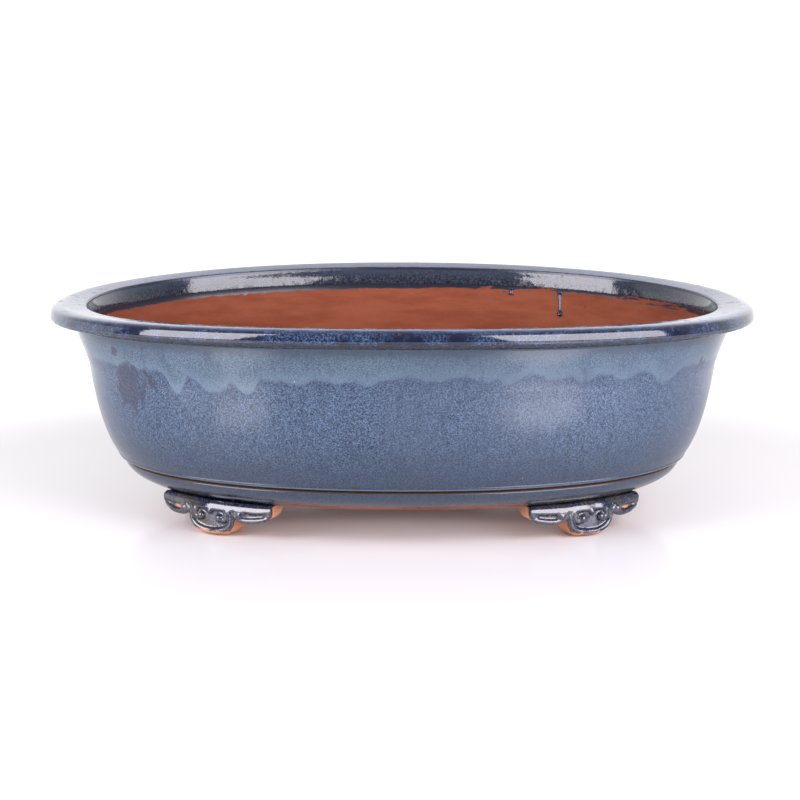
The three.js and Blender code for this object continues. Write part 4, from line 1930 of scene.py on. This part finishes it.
@dataclass(frozen=True)
class Studio:
    """Pale glossy floor, white surroundings behind, two soft boxes and the camera.

    Attributes:
        distance: Camera to the pot's middle.
        camera_height: Height of the camera.
        pitch: How far the camera looks down, in radians.
        turn: How far it stands round to the right, in radians.
        roll: Its roll, in radians.
        focal: Focal length over a 36 mm wide picture.
        floor_end: Where the floor ends behind the pot.
        floor_half: How far it reaches to the sides and the front.
        floor_tones: Its colour near the pot, darker there as painted shade, and further out.
        floor_glow: Its faint glow near the pot and further out, which keeps it pale.
        box_reach: Distance of the soft boxes, in metres.
        box_span: Elevation of their lower and upper edges, in degrees.
        cool: Colour of the soft boxes and of the glow on the wall.
        warm: Colour of the glow under the pot.
        overhead: Brightness of the surroundings overhead.
        backdrop: Brightness that the eye sees behind the floor.
    """

    distance: float = 1700.0
    camera_height: float = 375.8
    pitch: float = 0.1732
    turn: float = 0.0056
    roll: float = 0.0017
    focal: float = 105.7
    floor_end: float = 476.0
    floor_half: float = 1400.0
    floor_tones: tuple[Colour, Colour] = ((0.72, 0.712, 0.713), (0.95, 0.95, 0.95))
    floor_glow: tuple[Colour, Colour] = ((0.022, 0.014, 0.014), (0.35, 0.35, 0.35))
    box_reach: float = 1.65
    box_span: Pair = (2.0, 42.0)
    cool: Colour = (0.97, 0.93, 1.0)
    warm: Colour = (1.0, 0.84, 0.84)
    overhead: float = 0.47
    backdrop: float = 1.2

    def camera(self) -> None:
        """Places the camera."""
        lens = bpy.data.cameras.new("camera")
        lens.lens = self.focal
        lens.sensor_width = 36.0
        lens.shift_x = -0.0024
        eye = in_scene("camera", lens)
        spot = Vector((math.sin(self.turn), -math.cos(self.turn), 0.0)) * self.distance
        spot.z = self.camera_height
        turned = Matrix.Rotation(self.turn, 4, "Z") @ Matrix.Rotation(math.pi / 2 - self.pitch, 4, "X")
        eye.matrix_world = Matrix.Translation(spot * MM) @ turned @ Matrix.Rotation(self.roll, 4, "Z")
        bpy.context.scene.camera = eye

    def lamp(
        self, name: str, shape: LampShape, size: Pair, colour: Colour, radiance: float, place: Matrix
    ) -> None:
        """Adds a soft lamp that the camera doesn't see.

        Args:
            name: The lamp's name.
            shape: Its outline.
            size: Its width and height, in metres.
            colour: Its colour.
            radiance: How bright it is.
            place: Where it hangs, facing down its own Z.
        """
        light = bpy.data.lights.new(name, "AREA")
        light.shape = shape.name
        light.size, light.size_y = size
        light.color = colour
        light.energy = radiance * math.pi * size[0] * size[1] * shape.value
        hung = in_scene(name, light)
        hung.matrix_world = place
        hung.visible_camera = False

    def soft_box(self, name: str, azimuth: float, spread: float, radiance: float) -> None:
        """Hangs one soft box that faces the pot.

        Args:
            name: The lamp's name.
            azimuth: Degrees from the front towards the right.
            spread: Half its width, in degrees.
            radiance: How bright it is.
        """
        low, high = self.box_span
        middle = math.radians((low + high) / 2)
        tall = 2 * self.box_reach * math.tan(math.radians(high - low) / 2)
        wide = 2 * self.box_reach * math.tan(math.radians(spread))
        heading = math.radians(azimuth)
        level = Vector((math.sin(heading), -math.cos(heading), 0.0)) * math.cos(middle)
        aim = level + Vector((0.0, 0.0, math.sin(middle)))
        turned = aim.to_track_quat("Z", "Y").to_matrix().to_4x4()
        place = Matrix.Translation(aim * self.box_reach + Vector((0.0, 0.0, 0.1))) @ turned
        self.lamp(name, LampShape.RECTANGLE, (wide, tall), self.cool, radiance, place)

    def card(self, name: str, middle: Spot, size: Pair, radiance: float, up: bool) -> None:
        """Lays a small soft glow level with the floor.

        Args:
            name: The lamp's name.
            middle: Its middle.
            size: Its width and depth.
            radiance: How bright it is.
            up: Whether it shines up, for a pale patch on the wall, or down on the floor.
        """
        place = Matrix.Translation(Vector(middle) * MM) @ Matrix.Rotation(math.pi if up else 0.0, 4, "X")
        reach = (size[0] * MM, size[1] * MM)
        self.lamp(name, LampShape.ELLIPSE, reach, self.cool if up else self.warm, radiance, place)

    def surroundings(self) -> None:
        """White behind the pot and to its left, dim in front, and white to the eye."""
        world = bpy.data.worlds.new("studio")
        world.use_nodes = True
        wires = Wiring(world.node_tree)
        background = world.node_tree.nodes["Background"]
        parts = wires.add("ShaderNodeSeparateXYZ")
        wires.feed(parts.inputs[0], wires.add("ShaderNodeTexCoord").outputs["Generated"])
        across, back, up = parts.outputs
        left = wires.ramp(back, -0.06, 0.0)
        right = wires.ramp(back, 0.0, 0.9, 0.25, 1.0)
        behind = wires.mix_values(wires.ramp(across, -0.3, 0.3), left, right)
        behind = wires.times(behind, wires.ramp(back, -0.1, 0.0))
        front_light = wires.ramp(up, 0.28, 0.45, 0.25, 0.16)
        back_light = wires.ramp(wires.maths("ABSOLUTE", across), 0.05, 0.16, 1.0, 1.55)
        level = wires.mix_values(behind, front_light, back_light)
        level = wires.mix_values(wires.ramp(up, 0.24, 0.62), level, self.overhead)
        to_eye = wires.add("ShaderNodeLightPath").outputs["Is Camera Ray"]
        wires.feed(background.inputs["Strength"], wires.mix_values(to_eye, level, self.backdrop))
        background.inputs["Color"].default_value = (1.0, 0.99, 1.0, 1.0)
        bpy.context.scene.world = world

    def floor(self) -> None:
        """Lays the pale glossy floor."""
        half, end = self.floor_half, self.floor_end
        corners = np.array([(-half, -half, 0), (half, -half, 0), (half, end, 0), (-half, end, 0)])
        ground = in_scene("floor", new_mesh("floor", corners, [(0, 1, 2, 3)]))
        material, wires, shader = new_finish("Pale floor")
        away = wires.add("ShaderNodeVectorMath", operation="LENGTH")
        wires.feed(away.inputs[0], wires.here())
        far = wires.ramp(away.outputs["Value"], 0.36, 0.8)
        # Painted shade and light: the floor is darker near the pot, with a faint glow there and a stronger
        # one further out.
        wires.feed(shader.inputs["Base Color"], wires.mix(far, *self.floor_tones))
        wires.feed(shader.inputs["Emission Color"], wires.mix(far, *self.floor_glow))
        for name, value in (("Emission Strength", 1.0), ("Roughness", 0.4), ("Coat Weight", 0.25),
                            ("Coat Roughness", 0.08), ("Coat IOR", 1.5)):
            shader.inputs[name].default_value = value
        ground.data.materials.append(material)

    def build(self) -> None:
        """Sets up the whole studio."""
        self.surroundings()
        self.floor()
        self.soft_box("left_soft_box", -55.0, 18.0, 9.3)
        self.soft_box("right_soft_box", 48.0, 25.0, 8.6)
        self.card("left_low_card", (-235.0, -280.0, 1.0), (105.0, 115.0), 2.1, up=True)
        self.card("right_low_card", (222.0, -302.0, 1.0), (170.0, 105.0), 3.6, up=True)
        self.card("bounce_under_pot", (0.0, -78.0, 22.0), (270.0, 50.0), 0.42, up=False)
        bpy.context.scene.view_settings.view_transform = "Standard"


# ------------------------------------------------------------------ the whole pot


def main() -> None:
    """Builds the studio and every member of the pot."""
    logging.basicConfig(level=logging.INFO, format="%(message)s")
    studio = Studio()
    studio.camera()
    studio.build()
    finishes = Finishes.build()
    oval = Oval.from_frame()
    wall = Wall(oval)
    foot = CloudFoot(oval)
    members = [
        RimLip(oval), wall, InnerRuns(wall), BaseBand(oval, foot.middle_angle()),
        SeamCoil(oval, wall), FloorSlab(oval),
    ]
    for member in members:
        member.dress(member.build(), finishes)
    flat = foot.flat_clay()
    for number, (depth_name, sign_y) in enumerate((("front", 1.0), ("rear", -1.0))):
        for side_name, sign_x in (("left", -1.0), ("right", 1.0)):
            node = f"{depth_name}_{side_name}_foot"
            seed = 13.0 * number + 5.0 * sign_x
            foot.dress(foot.build(f"{node}_glazed", flat, sign_x, sign_y, seed), finishes, node)


if __name__ == "__main__":
    main()
